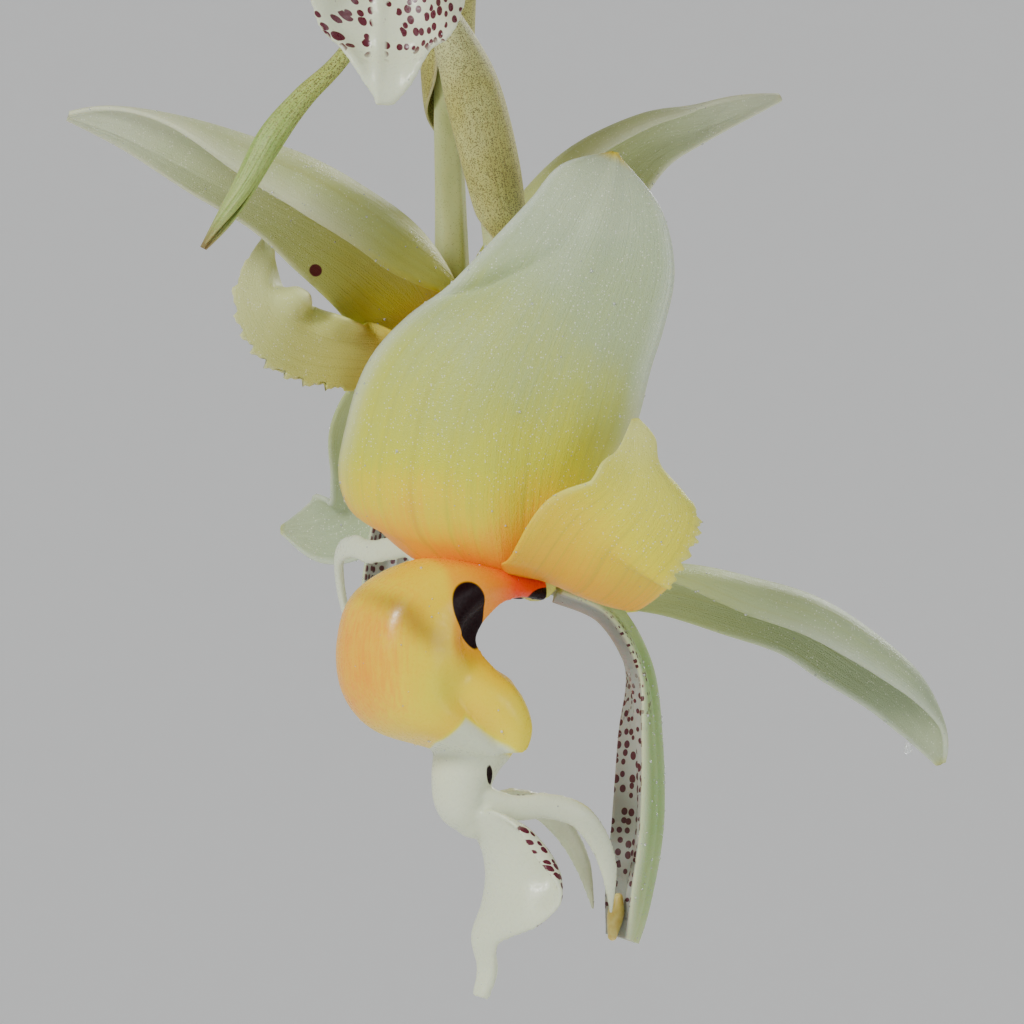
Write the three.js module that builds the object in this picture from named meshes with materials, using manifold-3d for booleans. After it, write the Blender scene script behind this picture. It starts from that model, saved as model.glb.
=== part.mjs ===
// A potted orchid of the upside-down kind: a plain clay orchid pot on a three-wire hanger, with ridged
// pseudobulbs and pleated leaves above, and a hanging spray of three large waxy flowers that grows down
// through the hole in the pot's floor.
// Millimetres, +Z up, +Y away from the viewer. The origin is where the hook's crown rests on its rail.
import * as THREE from "three";
import { mergeVertices } from "three/addons/utils/BufferGeometryUtils.js";
import Module from "manifold-3d";

const wasm = await Module();
wasm.setup();

// Driving dimensions
const POT_RIM_Z = -255;
const POT_HEIGHT = 102;
const POT_RIM_RADIUS = 74;
const POT_BASE_RADIUS = 52;
const POT_WALL = 5;
const SPRAY_CENTRE_Z = -566; // height of the middle of the lowest flower
const GAP = 0.3; // clearance left between two pieces that touch
const SEPAL_THICK = 1.2;
const PETAL_THICK = 0.9;
const SMALLEST_STEP = 0.13; // detail finer than this is smoothed away

const POT_BASE_Z = POT_RIM_Z - POT_HEIGHT;

// Colours and finishes
const finish = (color, roughness, metalness = 0) =>
  new THREE.MeshStandardMaterial({ color, roughness, metalness, side: THREE.DoubleSide });
const CREAM = finish(0xe9ecc8, 0.5);
const ORANGE_LIP = finish(0xf6b13c, 0.35);
const PALE_GREEN = finish(0xcfdcae, 0.45);
const SPECKLED = finish(0x9a9a60, 0.6);
const TAN = finish(0xd9b86a, 0.6);
const LEAF_GREEN = finish(0x3f6b2c, 0.5);
const BULB_GREEN = finish(0x5c7a3a, 0.5);
const BROWN_STEM = finish(0x7a6848, 0.8);
const CLAY = finish(0xb5673f, 0.85);
const BARK = finish(0x5b3f2a, 0.95);
const WIRE = finish(0xa8abad, 0.35, 1);

const v3 = (p) => new THREE.Vector3(...p);
const DEGREE = Math.PI / 180;

// Value at s, from 0 to 1, of a smooth curve through equally spaced stations, numbers or lists of numbers.
function spline(list, s) {
  const last = list.length - 1;
  if (last === 0) return list[0];
  const x = Math.min(Math.max(s, 0), 1) * last;
  const i = Math.min(Math.floor(x), last - 1);
  const f = x - i;
  const weights = [
    -0.5 * f + f * f - 0.5 * f * f * f,
    1 - 2.5 * f * f + 1.5 * f * f * f,
    0.5 * f + 2 * f * f - 1.5 * f * f * f,
    -0.5 * f * f + 0.5 * f * f * f,
  ];
  const near = [i - 1, i, i + 1, i + 2].map((k) => list[Math.min(Math.max(k, 0), last)]);
  const mix = (pick) => near.reduce((sum, value, k) => sum + pick(value) * weights[k], 0);
  if (!Array.isArray(list[0])) return mix((value) => value);
  return list[0].map((_, axis) => mix((value) => value[axis]));
}

// The axes of a spine at s: its point, its direction, the way it faces, and the side to the right of that.
function axesAt(spine, face, s) {
  const step = 0.01;
  const point = v3(spline(spine, s));
  const ahead = v3(spline(spine, s + step));
  const behind = v3(spline(spine, s - step));
  const along = ahead.sub(behind).normalize();
  const side = along.clone().cross(v3(spline(face, s))).normalize();
  const out = side.clone().cross(along);
  return { point, along, side, out };
}

// A closed solid from indexed triangles.
function solidFrom(points, triangles) {
  const positions = new Float32Array(points.flatMap((p) => [p.x, p.y, p.z]));
  return new wasm.Manifold(
    new wasm.Mesh({ numProp: 3, vertProperties: positions, triVerts: new Uint32Array(triangles.flat()) }),
  );
}

// A closed solid from a three.js geometry, placed by a matrix.
function solidOf(geometry, matrix = new THREE.Matrix4()) {
  const bare = geometry.clone().applyMatrix4(matrix);
  bare.deleteAttribute("normal");
  bare.deleteAttribute("uv");
  const merged = mergeVertices(bare, 1e-4);
  const index = merged.index.array;
  const kept = [];
  for (let i = 0; i < index.length; i += 3) {
    const [a, b, c] = [index[i], index[i + 1], index[i + 2]];
    if (a !== b && b !== c && c !== a) kept.push(a, b, c);
  }
  return new wasm.Manifold(
    new wasm.Mesh({
      numProp: 3,
      vertProperties: merged.attributes.position.array,
      triVerts: new Uint32Array(kept),
    }),
  );
}

const largest = (solid) => solid.decompose().sort((a, b) => b.volume() - a.volume())[0];

// A skin of rows by cols cells over pointAt(s, t), thickened to thickAt(s, t), with both faces split alike.
function sheet(rows, cols, pointAt, thickAt) {
  const middle = [];
  for (let i = 0; i <= rows; i++)
    for (let j = 0; j <= cols; j++) middle.push(pointAt(i / rows, (2 * j) / cols - 1));
  const index = (i, j) => i * (cols + 1) + j;
  const at = (i, j) => middle[index(Math.min(Math.max(i, 0), rows), Math.min(Math.max(j, 0), cols))];
  const tops = [];
  const bottoms = [];
  for (let i = 0; i <= rows; i++)
    for (let j = 0; j <= cols; j++) {
      const along = at(i + 1, j).clone().sub(at(i - 1, j));
      const across = at(i, j + 1).clone().sub(at(i, j - 1));
      const normal = across.cross(along).normalize();
      const half = thickAt(i / rows, (2 * j) / cols - 1) / 2;
      tops.push(at(i, j).clone().addScaledVector(normal, half));
      bottoms.push(at(i, j).clone().addScaledVector(normal, -half));
    }
  const under = tops.length;
  const triangles = [];
  const quad = (a, b, c, d) => triangles.push([a, b, c], [a, c, d]);
  for (let i = 0; i < rows; i++)
    for (let j = 0; j < cols; j++) {
      const [a, b, c, d] = [index(i, j), index(i, j + 1), index(i + 1, j + 1), index(i + 1, j)];
      quad(a, b, c, d);
      triangles.push([under + a, under + c, under + b], [under + a, under + d, under + c]);
    }
  for (let i = 0; i < rows; i++) {
    quad(index(i, 0), index(i + 1, 0), under + index(i + 1, 0), under + index(i, 0));
    quad(index(i + 1, cols), index(i, cols), under + index(i, cols), under + index(i + 1, cols));
  }
  for (let j = 0; j < cols; j++) {
    quad(index(0, j + 1), index(0, j), under + index(0, j), under + index(0, j + 1));
    quad(index(rows, j), index(rows, j + 1), under + index(rows, j + 1), under + index(rows, j));
  }
  return solidFrom([...tops, ...bottoms], triangles);
}

// A leaf-like blade. Its spine and the way it faces are stations from base to tip; left and right are its
// half widths along the surface as the faced viewer sees them with the tip up; each curl is the angle, in
// degrees, that a half bends towards the viewer. grow makes the larger body that clears a neighbour.
function blade(shape, rows, cols, grow = 0) {
  const { spine, face, left, right, curlLeft = [0], curlRight = [0], thick } = shape;
  const { ripple = () => 0, edge = () => 1, rib = 0, squash = 1 } = shape;
  const pointAt = (s, t) => {
    const { point, along, side, out } = axesAt(spine, face, s);
    const width = (spline(t < 0 ? left : right, s) + grow) * edge(s, t);
    const curl = spline(t < 0 ? curlLeft : curlRight, s) * DEGREE;
    const angle = curl * Math.abs(t);
    const bent = Math.abs(curl) > 1e-3;
    const reach = width * (bent ? Math.sin(angle) / curl : Math.abs(t));
    const rise = squash * width * (bent ? (1 - Math.cos(angle)) / curl : 0) + ripple(s, t);
    const overrun = (s === 0 ? -grow : 0) + (s === 1 ? grow : 0);
    return point
      .addScaledVector(side, reach * Math.sign(t))
      .addScaledVector(out, rise)
      .addScaledVector(along, overrun);
  };
  const thickAt = (s, t) => thick + rib * Math.max(0, 1 - Math.abs(t) / 0.45) + 2 * grow;
  return sheet(rows, cols, pointAt, thickAt);
}

// A rod of round or oval section along a spine. radii are stations of [half size the faced way, half side].
function rod(spine, radii, sides, rows, face = [[0, -1, 0.05]], grow = 0, ridge = () => 1) {
  const points = [];
  for (let i = 0; i <= rows; i++) {
    const s = i / rows;
    const { point, along, side, out } = axesAt(spine, face, s);
    const [deep, wide] = spline(radii, s);
    point.addScaledVector(along, (i === 0 ? -grow : 0) + (i === rows ? grow : 0));
    for (let k = 0; k < sides; k++) {
      const turn = (2 * Math.PI * k) / sides;
      const lift = ridge(turn, s);
      points.push(
        point
          .clone()
          .addScaledVector(out, (deep * lift + grow) * Math.cos(turn))
          .addScaledVector(side, (wide * lift + grow) * Math.sin(turn)),
      );
    }
  }
  const triangles = [];
  for (let i = 0; i < rows; i++)
    for (let k = 0; k < sides; k++) {
      const next = (k + 1) % sides;
      const [a, b, c, d] = [i * sides + k, i * sides + next, (i + 1) * sides + next, (i + 1) * sides + k];
      triangles.push([a, b, c], [a, c, d]);
    }
  const last = rows * sides;
  for (let k = 1; k < sides - 1; k++) {
    triangles.push([0, k + 1, k]);
    triangles.push([last, last + k, last + k + 1]);
  }
  return solidFrom(points, triangles);
}

const round = (radii) => radii.map((r) => [r, r]);

const part = new THREE.Group();
part.name = "potted_orchid";

// A named mesh of a solid that is given in the part's frame, held by a group.
function addNode(name, solid, material, group) {
  const mesh = solid.transform(group.matrixWorld.clone().invert().elements).getMesh();
  const geometry = new THREE.BufferGeometry();
  geometry.setAttribute("position", new THREE.BufferAttribute(mesh.vertProperties, 3));
  geometry.setIndex(new THREE.BufferAttribute(mesh.triVerts, 1));
  const node = new THREE.Mesh(geometry, material);
  node.name = name;
  group.add(node);
}

// Flower organs, in a flower's own frame: the origin where the ovary ends and every organ joins, +X towards
// the side of the column and of the top sepal, and Y across the flower.

// The lip's boat-shaped base. Each station is a bend of its keel [x, z], the way into the boat [x, z], how
// deep its walls reach that way, its greatest half width, and half the mouth between the rims.
const POUCH_THICK = 1.5;
const POUCH = [
  [0.8, -1.0, 0, -1, 3, 4, 3.6],
  [-8, 0.6, 0.64, -0.77, 5.4, 7.5, 7],
  [-18.5, 1.4, 0.86, -0.5, 12, 10, 8],
  [-27.8, -3.2, 0.97, -0.26, 17.2, 11, 8],
  [-30.6, -10.8, 1, 0, 18.4, 11.5, 8],
  [-29.8, -18.2, 0.99, 0.16, 19, 11.5, 8.5],
  [-25.3, -23.6, 0.97, 0.24, 17.8, 11, 9],
  [-17.5, -26.4, 0.98, 0.19, 13, 9.5, 8.5],
  [-11, -28.6, 1, 0.1, 6.4, 8, 7],
];

function pouch(rows, cols, grow) {
  const pointAt = (s, t) => {
    const [x, z, inX, inZ, depth, wide, mouth] = spline(POUCH, s);
    const wall = [
      [mouth, 1],
      [(wide + mouth) * 0.52, 0.78],
      [wide, 0.5],
      [wide * 0.76, 0.17],
      [0, 0],
    ];
    const near = wall.map(([y, share]) => [-y, share]);
    const far = wall.slice(0, 4).reverse();
    const [y, share] = spline([...near, ...far], (t + 1) / 2);
    const long = Math.hypot(inX, inZ);
    return new THREE.Vector3(x + (inX / long) * depth * share, y, z + (inZ / long) * depth * share);
  };
  return sheet(rows, cols, pointAt, () => POUCH_THICK + 2 * grow);
}

// The lip's white neck, which carries two curved horns and the hanging end lobe.
const NECK = {
  spine: [
    [-8.2, 0, -21], [-9, 0, -25], [-10.6, 0, -29], [-11.5, 0, -32.6], [-11.2, 0, -36],
    [-9.6, 0, -38.6],
  ],
  radii: [[6.4, 6.6], [6.6, 6.6], [5.3, 6], [4.6, 5.4], [4.2, 4.8], [2.8, 3.6]],
  face: [[1, 0, 0]],
};
const HORN = {
  spine: [
    [-11, 2, -35.6], [-5.4, 5, -36.3], [-0.1, 6.5, -36.1], [5.3, 7, -37.7],
    [9.3, 6.2, -42.2], [11.4, 5, -47.3], [12.2, 3.6, -53.1],
  ],
  radii: [[2.2, 1.4], [2.1, 1.1], [2.1, 1], [2.1, 0.9], [1.9, 0.8], [1.4, 0.7], [0.4, 0.4]],
  face: [[0, 0, 1], [0, 0, 1], [0.1, 0, 1], [0.5, 0, 0.9], [0.9, 0, 0.4], [1, 0, 0.2], [1, 0, 0]],
};
const END_LOBE = {
  spine: [
    [-10.5, 0, -37.5], [-7.2, 0, -42], [-6.1, 0, -47], [-6.6, 0, -51.8], [-7.9, 0, -56.6],
    [-8.7, 0, -61.4], [-8.2, 0, -66],
  ],
  face: [[1, -0.15, 0.2]],
  left: [6, 11, 14.5, 14.5, 8, 3.6, 0.7],
  right: [6, 11, 14.5, 14.5, 8, 3.6, 0.7],
  curlLeft: [50, 60, 60, 55, 45, 40, 20],
  curlRight: [50, 60, 60, 55, 45, 40, 20],
  thick: 1.3,
  rib: 1.2,
};

const mirrorY = (points) => points.map(([x, y, z]) => [x, -y, z]);

function horn(side, splay, sides, rows, grow) {
  const place = (points) => points.map(([x, y, z]) => [x, y * side * splay, z]);
  return rod(place(HORN.spine), HORN.radii, sides, rows, place(HORN.face), grow);
}

function lip(fine, splay, grow) {
  const [wall, ring] = fine ? [12, 10] : [8, 8];
  const [sides, rows] = fine ? [5, 9] : [4, 6];
  return pouch(wall, ring, grow)
    .add(rod(NECK.spine, NECK.radii, 8, 4, NECK.face, grow))
    .add(horn(1, splay, sides, rows, grow))
    .add(horn(-1, splay, sides, rows, grow))
    .add(blade(END_LOBE, rows, 6, grow));
}

// The column: a stout green-white arch, grooved towards the lip, with thin wings on its lower half.
const COLUMN = {
  spine: [
    [4.6, 0, -2.6], [13, 0, -6.2], [18.6, 0, -14.8], [20.4, 0, -26], [20.6, 0, -40],
    [18.4, 0, -52], [16.4, 0, -58],
  ],
  face: [
    [0, 0, -1], [-0.6, 0, -0.8], [-0.9, 0, -0.4], [-1, 0, 0], [-1, 0, 0], [-1, 0, 0.2],
    [-1, 0, 0.3],
  ],
  left: [2.4, 2.6, 3, 6.2, 7.6, 6.6, 4.6],
  right: [2.4, 2.6, 3, 6.2, 7.6, 6.6, 4.6],
  curlLeft: [40, 50, 60, 72, 75, 70, 50],
  curlRight: [40, 50, 60, 72, 75, 70, 50],
  thick: 1.2,
  rib: 3.4,
};
const ANTHER_CAP = {
  spine: [[15, 0, -51.4], [14.6, 0, -54], [14, 0, -57.4]],
  radii: [[0.9, 1], [1.5, 1.8], [0.8, 1]],
};

// The top sepal, long and channelled, and the two side sepals and petals of a flower that has opened flat.
const TOP_SEPAL = {
  spine: [
    [3.5, 0, 0.8], [15, 0, -0.4], [25, 0, -2], [35.5, 0, -4.5], [46, 0, -7.5],
    [54.5, 0, -12], [63, 0, -18], [68.5, 0, -24], [72, 0, -31.5],
  ],
  face: [
    [-0.1, -0.3, -1], [-0.2, -0.6, -1], [-0.3, -0.9, -0.7], [-0.37, -0.93, -0.45], [-0.37, -0.93, -0.4],
    [-0.37, -0.93, -0.35], [-0.37, -0.93, -0.3], [-0.37, -0.93, -0.25], [-0.37, -0.93, -0.2],
  ],
  left: [3, 9, 14, 15.5, 16, 15, 12.5, 7, 0.7],
  right: [3, 6.5, 6, 6.5, 7, 7.5, 6.5, 5, 0.7],
  curlLeft: [30, 70, 130, 165, 172, 172, 165, 140, 60],
  curlRight: [30, 40, 50, 55, 60, 60, 60, 60, 40],
  squash: 0.75,
  thick: SEPAL_THICK,
};
const SIDE_SEPAL = {
  spine: [[-1.4, 2.6, 0.8], [-7.6, 10.4, 3], [-11, 22, 8], [-10, 36, 16], [-5, 50, 25], [0, 64, 34]],
  face: [
    [-0.5, 0.1, -1], [-0.8, 0.2, -0.8], [-0.9, 0.3, -0.5], [-0.9, 0.4, -0.3], [-0.9, 0.4, -0.3],
    [-0.9, 0.4, -0.3],
  ],
  left: [3.5, 15, 22, 20, 12, 0.6],
  right: [3.5, 12, 19, 18, 11, 0.6],
  curlLeft: [20, 60, 100, 110, 110, 60],
  curlRight: [20, 50, 60, 60, 60, 40],
  thick: SEPAL_THICK,
};
const PETAL_TEETH = 6;
// A saw edge on one half of a petal, cut deeper towards the margin.
const toothed = (half) => (s, t) => {
  const onMargin = Math.max(0, t * half) ** 4;
  const wave = Math.abs(((s * PETAL_TEETH * 2 + 1) % 2) - 1);
  const span = s > 0.15 && s < 0.95 ? 1 : 0;
  return 1 - 0.13 * span * onMargin * wave;
};
// A margin that waves up and down on one half of a petal.
const waved = (half, height, waves) => (s, t) =>
  height * Math.max(0, t * half) ** 2 * Math.sin(2 * Math.PI * waves * s) * Math.min(1, s * 5);
const SIDE_PETAL = {
  spine: [[2.4, 3.4, -0.4], [6, 10.5, -3.4], [9, 18.5, -4], [10, 26, -1], [9, 33, 4], [7, 39, 10]],
  face: [
    [0.1, -0.3, -1], [0.1, -0.2, -1], [0.2, 0, -1], [0.3, 0.3, -0.9], [0.3, 0.5, -0.8],
    [0.3, 0.6, -0.8],
  ],
  left: [3, 8, 11, 11, 8, 0.6],
  right: [3, 9, 12, 12, 8.5, 0.6],
  curlLeft: [10, 30, 40, 40, 30, 10],
  curlRight: [10, 10, -10, -20, -20, 0],
  ripple: waved(-1, 3, 2.5),
  edge: toothed(1),
  thick: PETAL_THICK,
};

// A blade for the other side of the flower, across its plane of symmetry.
const mirrored = (shape) => ({
  ...shape,
  spine: mirrorY(shape.spine),
  face: mirrorY(shape.face),
  left: shape.right,
  right: shape.left,
  curlLeft: shape.curlRight,
  curlRight: shape.curlLeft,
  ripple: shape.ripple && ((s, t) => shape.ripple(s, -t)),
  edge: shape.edge && ((s, t) => shape.edge(s, -t)),
});

// Blades of the lowest and the rear flower that have opened their own way: +X here is the viewer's right.
const LOW_NEAR_SEPAL = {
  spine: [
    [0, -2.5, 0.6], [-4, -7.5, 0.6], [-5.5, -12, 5], [-6, -14.5, 13],
    [-4.5, -16, 25.5], [1, -16, 39], [8, -14, 53.5], [13, -12, 64.5],
  ],
  face: [
    [0.1, -0.3, -1], [-0.1, -0.6, -0.8], [-0.1, -1, -0.3], [0, -1, 0],
    [0, -1, 0], [0, -1, 0.05], [0, -1, 0.1], [0, -1, 0.1],
  ],
  left: [3, 15, 26, 28.5, 25, 15, 7.5, 0.7],
  right: [3, 12, 17.5, 20.5, 23, 20, 15, 0.7],
  curlLeft: [-10, -30, -55, -58, -50, -30, -10, 0],
  curlRight: [-10, -30, -45, -45, -45, -30, -20, 0],
  thick: SEPAL_THICK,
};
const LOW_FAR_SEPAL = {
  spine: [
    [1.5, 2.5, 0.8], [4.5, 9.5, 3], [7, 14, 10], [8, 16, 22], [8.5, 15.5, 34], [10, 13.5, 46],
    [12, 11, 57],
  ],
  face: [
    [0.1, 0.3, -1], [0.2, 0.6, -0.8], [0.3, 1, -0.3], [0.2, 1, 0], [0.2, 1, 0], [0.2, 1, 0],
    [0.2, 1, 0],
  ],
  left: [3, 7, 10, 12, 12, 9, 0.7],
  right: [3, 10, 18, 23, 22, 14, 0.7],
  curlLeft: [0, -20, -50, -65, -65, -45, 0],
  curlRight: [0, -30, -60, -65, -65, -40, 0],
  thick: SEPAL_THICK,
};
const LOW_NEAR_PETAL = {
  spine: [
    [2, -3.5, -0.8], [5, -12, -1], [9, -19, 5.5], [14, -21.5, 11], [16.5, -20.5, 17],
    [16, -18, 23.5],
  ],
  face: [[0, -0.6, -1], [0, -1, -0.4], [0, -1, 0], [0.1, -1, 0], [0.1, -1, 0], [0.1, -1, 0]],
  left: [4, 10.5, 8.5, 6.5, 4.5, 0.6],
  right: [4, 13.5, 15.5, 15, 7.5, 0.6],
  curlLeft: [10, 30, 25, 20, 10, 0],
  curlRight: [-10, -20, -20, -25, -30, 0],
  edge: toothed(1),
  thick: PETAL_THICK,
};
const LOW_FAR_PETAL = {
  spine: [[3, 3, -0.4], [8.5, 9.5, -1.5], [13.5, 16, 0.8], [17, 20, 6.5], [18, 20.5, 13]],
  face: [[-0.1, -0.3, -1], [-0.2, -0.6, -1], [-0.3, -1, -0.5], [-0.3, -1, 0], [-0.3, -1, 0]],
  left: [3, 5, 7, 7, 0.6],
  right: [3, 7, 9, 8, 0.6],
  edge: toothed(1),
  thick: PETAL_THICK,
};
const REAR_LEFT_SEPAL = {
  spine: [
    [-2, -1.5, 0.6], [-7.5, -4.5, 6.5], [-14.5, -9, 12], [-22.5, -14, 16.5],
    [-30.5, -19, 20.5], [-40, -24, 25], [-51, -27, 30.5], [-60.5, -28, 34],
  ],
  face: [
    [0, -0.4, -1], [0.1, -0.8, -0.7], [0.2, -1, -0.4], [0.2, -1, -0.3],
    [0.3, -1, -0.3], [0.3, -1, -0.3], [0.3, -1, -0.3], [0.3, -1, -0.3],
  ],
  left: [3.5, 9.5, 9, 7, 4.5, 3.5, 2, 0.7],
  right: [3.5, 20, 29.5, 31, 30, 23, 10, 0.7],
  curlLeft: [10, 30, 40, 45, 50, 50, 40, 20],
  curlRight: [20, 110, 158, 162, 162, 150, 110, 60],
  squash: 0.7,
  thick: SEPAL_THICK,
};
const REAR_RIGHT_SEPAL = {
  spine: [
    [1.5, 0.4, 0.6], [10, -2, 7], [17.5, -4, 16], [24, -4, 24], [32.5, -2, 31], [41.5, 1, 34.5],
    [54, 4, 40],
  ],
  face: [
    [0, -0.6, -1], [-0.3, -1, -0.6], [-0.4, -1, -0.2], [-0.3, -1, 0], [-0.3, -1, 0], [-0.3, -1, 0],
    [-0.3, -1, 0],
  ],
  left: [3, 17, 22, 19.5, 13, 7, 0.7],
  right: [3, 7, 8.5, 8, 4.5, 2, 0.7],
  curlLeft: [20, 110, 158, 162, 158, 120, 40],
  curlRight: [10, 30, 40, 40, 30, 20, 10],
  squash: 0.7,
  thick: SEPAL_THICK,
};
const REAR_RIGHT_PETAL = {
  spine: [[2.6, 2.4, -0.4], [10, 8.5, -3.4], [18, 15, -3], [23, 21, 0], [26, 26, 4.6]],
  face: [[0, -0.6, -1], [0, -0.8, -1], [0, -1, -0.8], [0, -1, -0.7], [0, -1, -0.6]],
  left: [3, 8, 10, 8, 0.6],
  right: [3, 8, 11, 9, 0.6],
  curlLeft: [10, 30, 40, 30, 10],
  curlRight: [10, 10, -10, -20, 0],
  ripple: waved(-1, 3, 2.5),
  edge: toothed(1),
  thick: PETAL_THICK,
};
const REAR_TOP_SEPAL = {
  spine: [
    [-0.8, 2.5, 0.6], [-9, 16, -7], [-15, 26, -14.5], [-17, 34, -22.5], [-18.5, 39, -28.5],
    [-23.5, 42, -31.5], [-30.5, 43, -31.5],
  ],
  face: [
    [-0.4, -0.6, -1], [-0.3, -1, -0.8], [0, -1, -0.2], [0.2, -1, 0], [0.2, -1, 0.2],
    [0.1, -1, 0.2], [0, -1, 0.2],
  ],
  left: [3, 7.5, 9, 9, 8.5, 6.5, 0.7],
  right: [3, 7.5, 9, 9, 8.5, 6.5, 0.7],
  curlLeft: [30, 60, 70, 60, 40, 30, 20],
  curlRight: [30, 60, 70, 60, 40, 30, 20],
  thick: SEPAL_THICK,
};
const REAR_LEFT_PETAL = {
  spine: [
    [-3.5, -1, -0.3], [-11, -3, -2], [-17, -6, -2], [-23, -8, -1], [-28, -10, 2], [-31, -10, 7.5],
    [-30.5, -6, 16],
  ],
  face: [
    [0, -0.6, -1], [0, -1, -0.5], [0.1, -1, -0.2], [0.1, -1, -0.1], [0.1, -1, 0], [0.1, -1, 0],
    [0.1, -1, 0],
  ],
  left: [3, 6, 7, 7.5, 7, 5, 0.6],
  right: [3, 4.5, 6, 7, 7, 5, 0.6],
  curlLeft: [0, 10, 10, 10, 0, 0, 0],
  curlRight: [10, 40, 60, 60, 50, 30, 0],
  ripple: waved(1, 3, 2.5),
  edge: toothed(-1),
  thick: PETAL_THICK,
};

// The hanging stem, from the rhizome down through the pot's floor to the lowest flower's stalk.
const SCAPE = [
  [2, -6, POT_RIM_Z - 20], [1.5, -2, -300], [0.5, 0, -330], [0, 0, -360], [-1, 0, -395], [-5, 1, -425],
  [-9, 2, -453], [-11.5, 2, -479],
];
const SCAPE_RADII = [3.4, 3.4, 3.3, 3.2, 3, 2.8, 2.5, 2.1];

// Each flower: where its organs join, its turn about Z, how far its column side is raised and its lip swung
// to the left, how wide its horns stand, its stalk, the bract round it, and its blades, own ones not turned.
const FLOWERS = [
  {
    name: "low",
    at: [2.8, 0, SPRAY_CENTRE_Z - 9.4],
    yaw: 22,
    raise: 0,
    swing: 0,
    splay: 1,
    stalk: [
      [-12, 2, 93], [-13, 2, 83.5], [-8.9, 1.5, 73.5], [-5.6, 1, 62], [-3, 1, 48],
      [-1.2, 1.6, 34], [0.6, 2.2, 18], [2, 1.4, 2], [2.8, 0.4, -6.6],
    ],
    stalkRadii: [1.8, 1.8, 1.9, 2, 2.2, 2.4, 2.7, 3, 3.3],
    bract: {
      spine: [[-9, 2, 79], [-3, 1.4, 69], [0.4, 1, 57], [1.8, 1.1, 46.5], [1.2, 1.4, 38.6]],
      face: [-1, 0.05, -0.35],
    },
    own: [LOW_NEAR_PETAL, LOW_FAR_PETAL, LOW_NEAR_SEPAL, LOW_FAR_SEPAL],
    turned: [TOP_SEPAL],
  },
  {
    name: "rear",
    at: [-9.7, 36, SPRAY_CENTRE_Z + 28.5],
    yaw: 104,
    raise: 0,
    swing: 8,
    splay: 1.8,
    stalk: [
      [-8.6, 4.6, 110], [-9.4, 9, 100], [-10.4, 16, 84], [-10.4, 24, 66], [-10, 30, 50],
      [-9.8, 34, 38], [-9.7, 36, 31.4],
    ],
    stalkRadii: [1.8, 1.9, 2, 2.2, 2.5, 2.9, 3.3],
    bract: {
      spine: [[-8.8, 9.2, 106], [-9.8, 15.6, 95.5], [-10.5, 21.4, 83], [-10.5, 26, 71.5], [-10.8, 30, 62]],
      face: [0, -0.9, -0.4],
    },
    own: [REAR_LEFT_PETAL, REAR_RIGHT_PETAL, REAR_TOP_SEPAL, REAR_LEFT_SEPAL, REAR_RIGHT_SEPAL],
    turned: [],
  },
  {
    name: "high",
    at: [-16.7, -14, SPRAY_CENTRE_Z + 126],
    yaw: -84,
    raise: 22,
    swing: 0,
    splay: 1,
    stalk: [
      [-2.4, -3.4, 167], [-4.4, -8, 164], [-8.4, -12, 158], [-12.6, -14, 148], [-15.4, -14.6, 138],
      [-16.6, -14.2, 129],
    ],
    stalkRadii: [1.8, 2, 2.2, 2.5, 2.9, 3.3],
    bract: {
      spine: [
        [-4.2, -4.4, 168.4], [-8.2, -9.8, 166], [-11.8, -13.8, 160], [-14.4, -15.4, 153],
        [-16.6, -16.2, 145.5],
      ],
      face: [0.6, 0.3, -0.7],
    },
    own: [],
    turned: [SIDE_PETAL, mirrored(SIDE_PETAL), TOP_SEPAL, SIDE_SEPAL, mirrored(SIDE_SEPAL)],
  },
];

// Points given from the height of the lowest flower's middle, in the part's frame.
const lowered = (points) => points.map(([x, y, z]) => [x, y, SPRAY_CENTRE_Z + z]);

// A bract that is rolled into a tube round a stalk, close to it at the base. widest is half its width when
// it is laid out flat, and base the share of that where it springs from the stem.
const rolled = (spine, face, widest, base = 0.56) => ({
  spine,
  face,
  left: [base, 0.98, 1, 0.8, 0.15].map((share) => share * widest),
  right: [base, 0.98, 1, 0.8, 0.15].map((share) => share * widest),
  curlLeft: [165, 168, 165, 150, 60],
  curlRight: [165, 168, 165, 150, 60],
  thick: 0.7,
});
const NARROW_BRACT = {
  ...rolled(
    lowered([
      [-12.6, 0, 94], [-17, -1, 87], [-26.4, -4, 72], [-33.4, -6, 65], [-38.8, -7, 58.6],
      [-43, -8, 50], [-47.8, -8, 40.8],
    ]),
    [[0.4, -0.3, -0.7]],
    5.6,
  ),
  left: [2.6, 2.6, 3, 4.4, 5.8, 4.4, 0.7],
  right: [2.6, 2.6, 3, 4.4, 5.8, 4.4, 0.7],
  curlLeft: [120, 120, 125, 150, 160, 140, 60],
  curlRight: [120, 120, 125, 150, 160, 140, 60],
};

// A piece is cut back to clear those added before it by the gap, so what comes first keeps its shape.
const taken = [];
const meets = (a, b) => [0, 1, 2].every((i) => a.min[i] < b.max[i] && b.min[i] < a.max[i]);

function cleared(solid) {
  const box = solid.boundingBox();
  return taken
    .filter((other) => meets(box, other.box))
    .reduce((rest, other) => rest.subtract(other.solid), solid);
}

function take(solid) {
  taken.push({ solid, box: solid.boundingBox() });
}

// make(grow) gives the piece in its group's frame, larger by grow for the body that neighbours clear.
function fit(name, material, make, group = part) {
  const placed = (grow) => make(grow).transform(group.matrixWorld.elements);
  addNode(name, largest(cleared(placed(0))).simplify(SMALLEST_STEP), material, group);
  take(placed(GAP));
}

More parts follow.
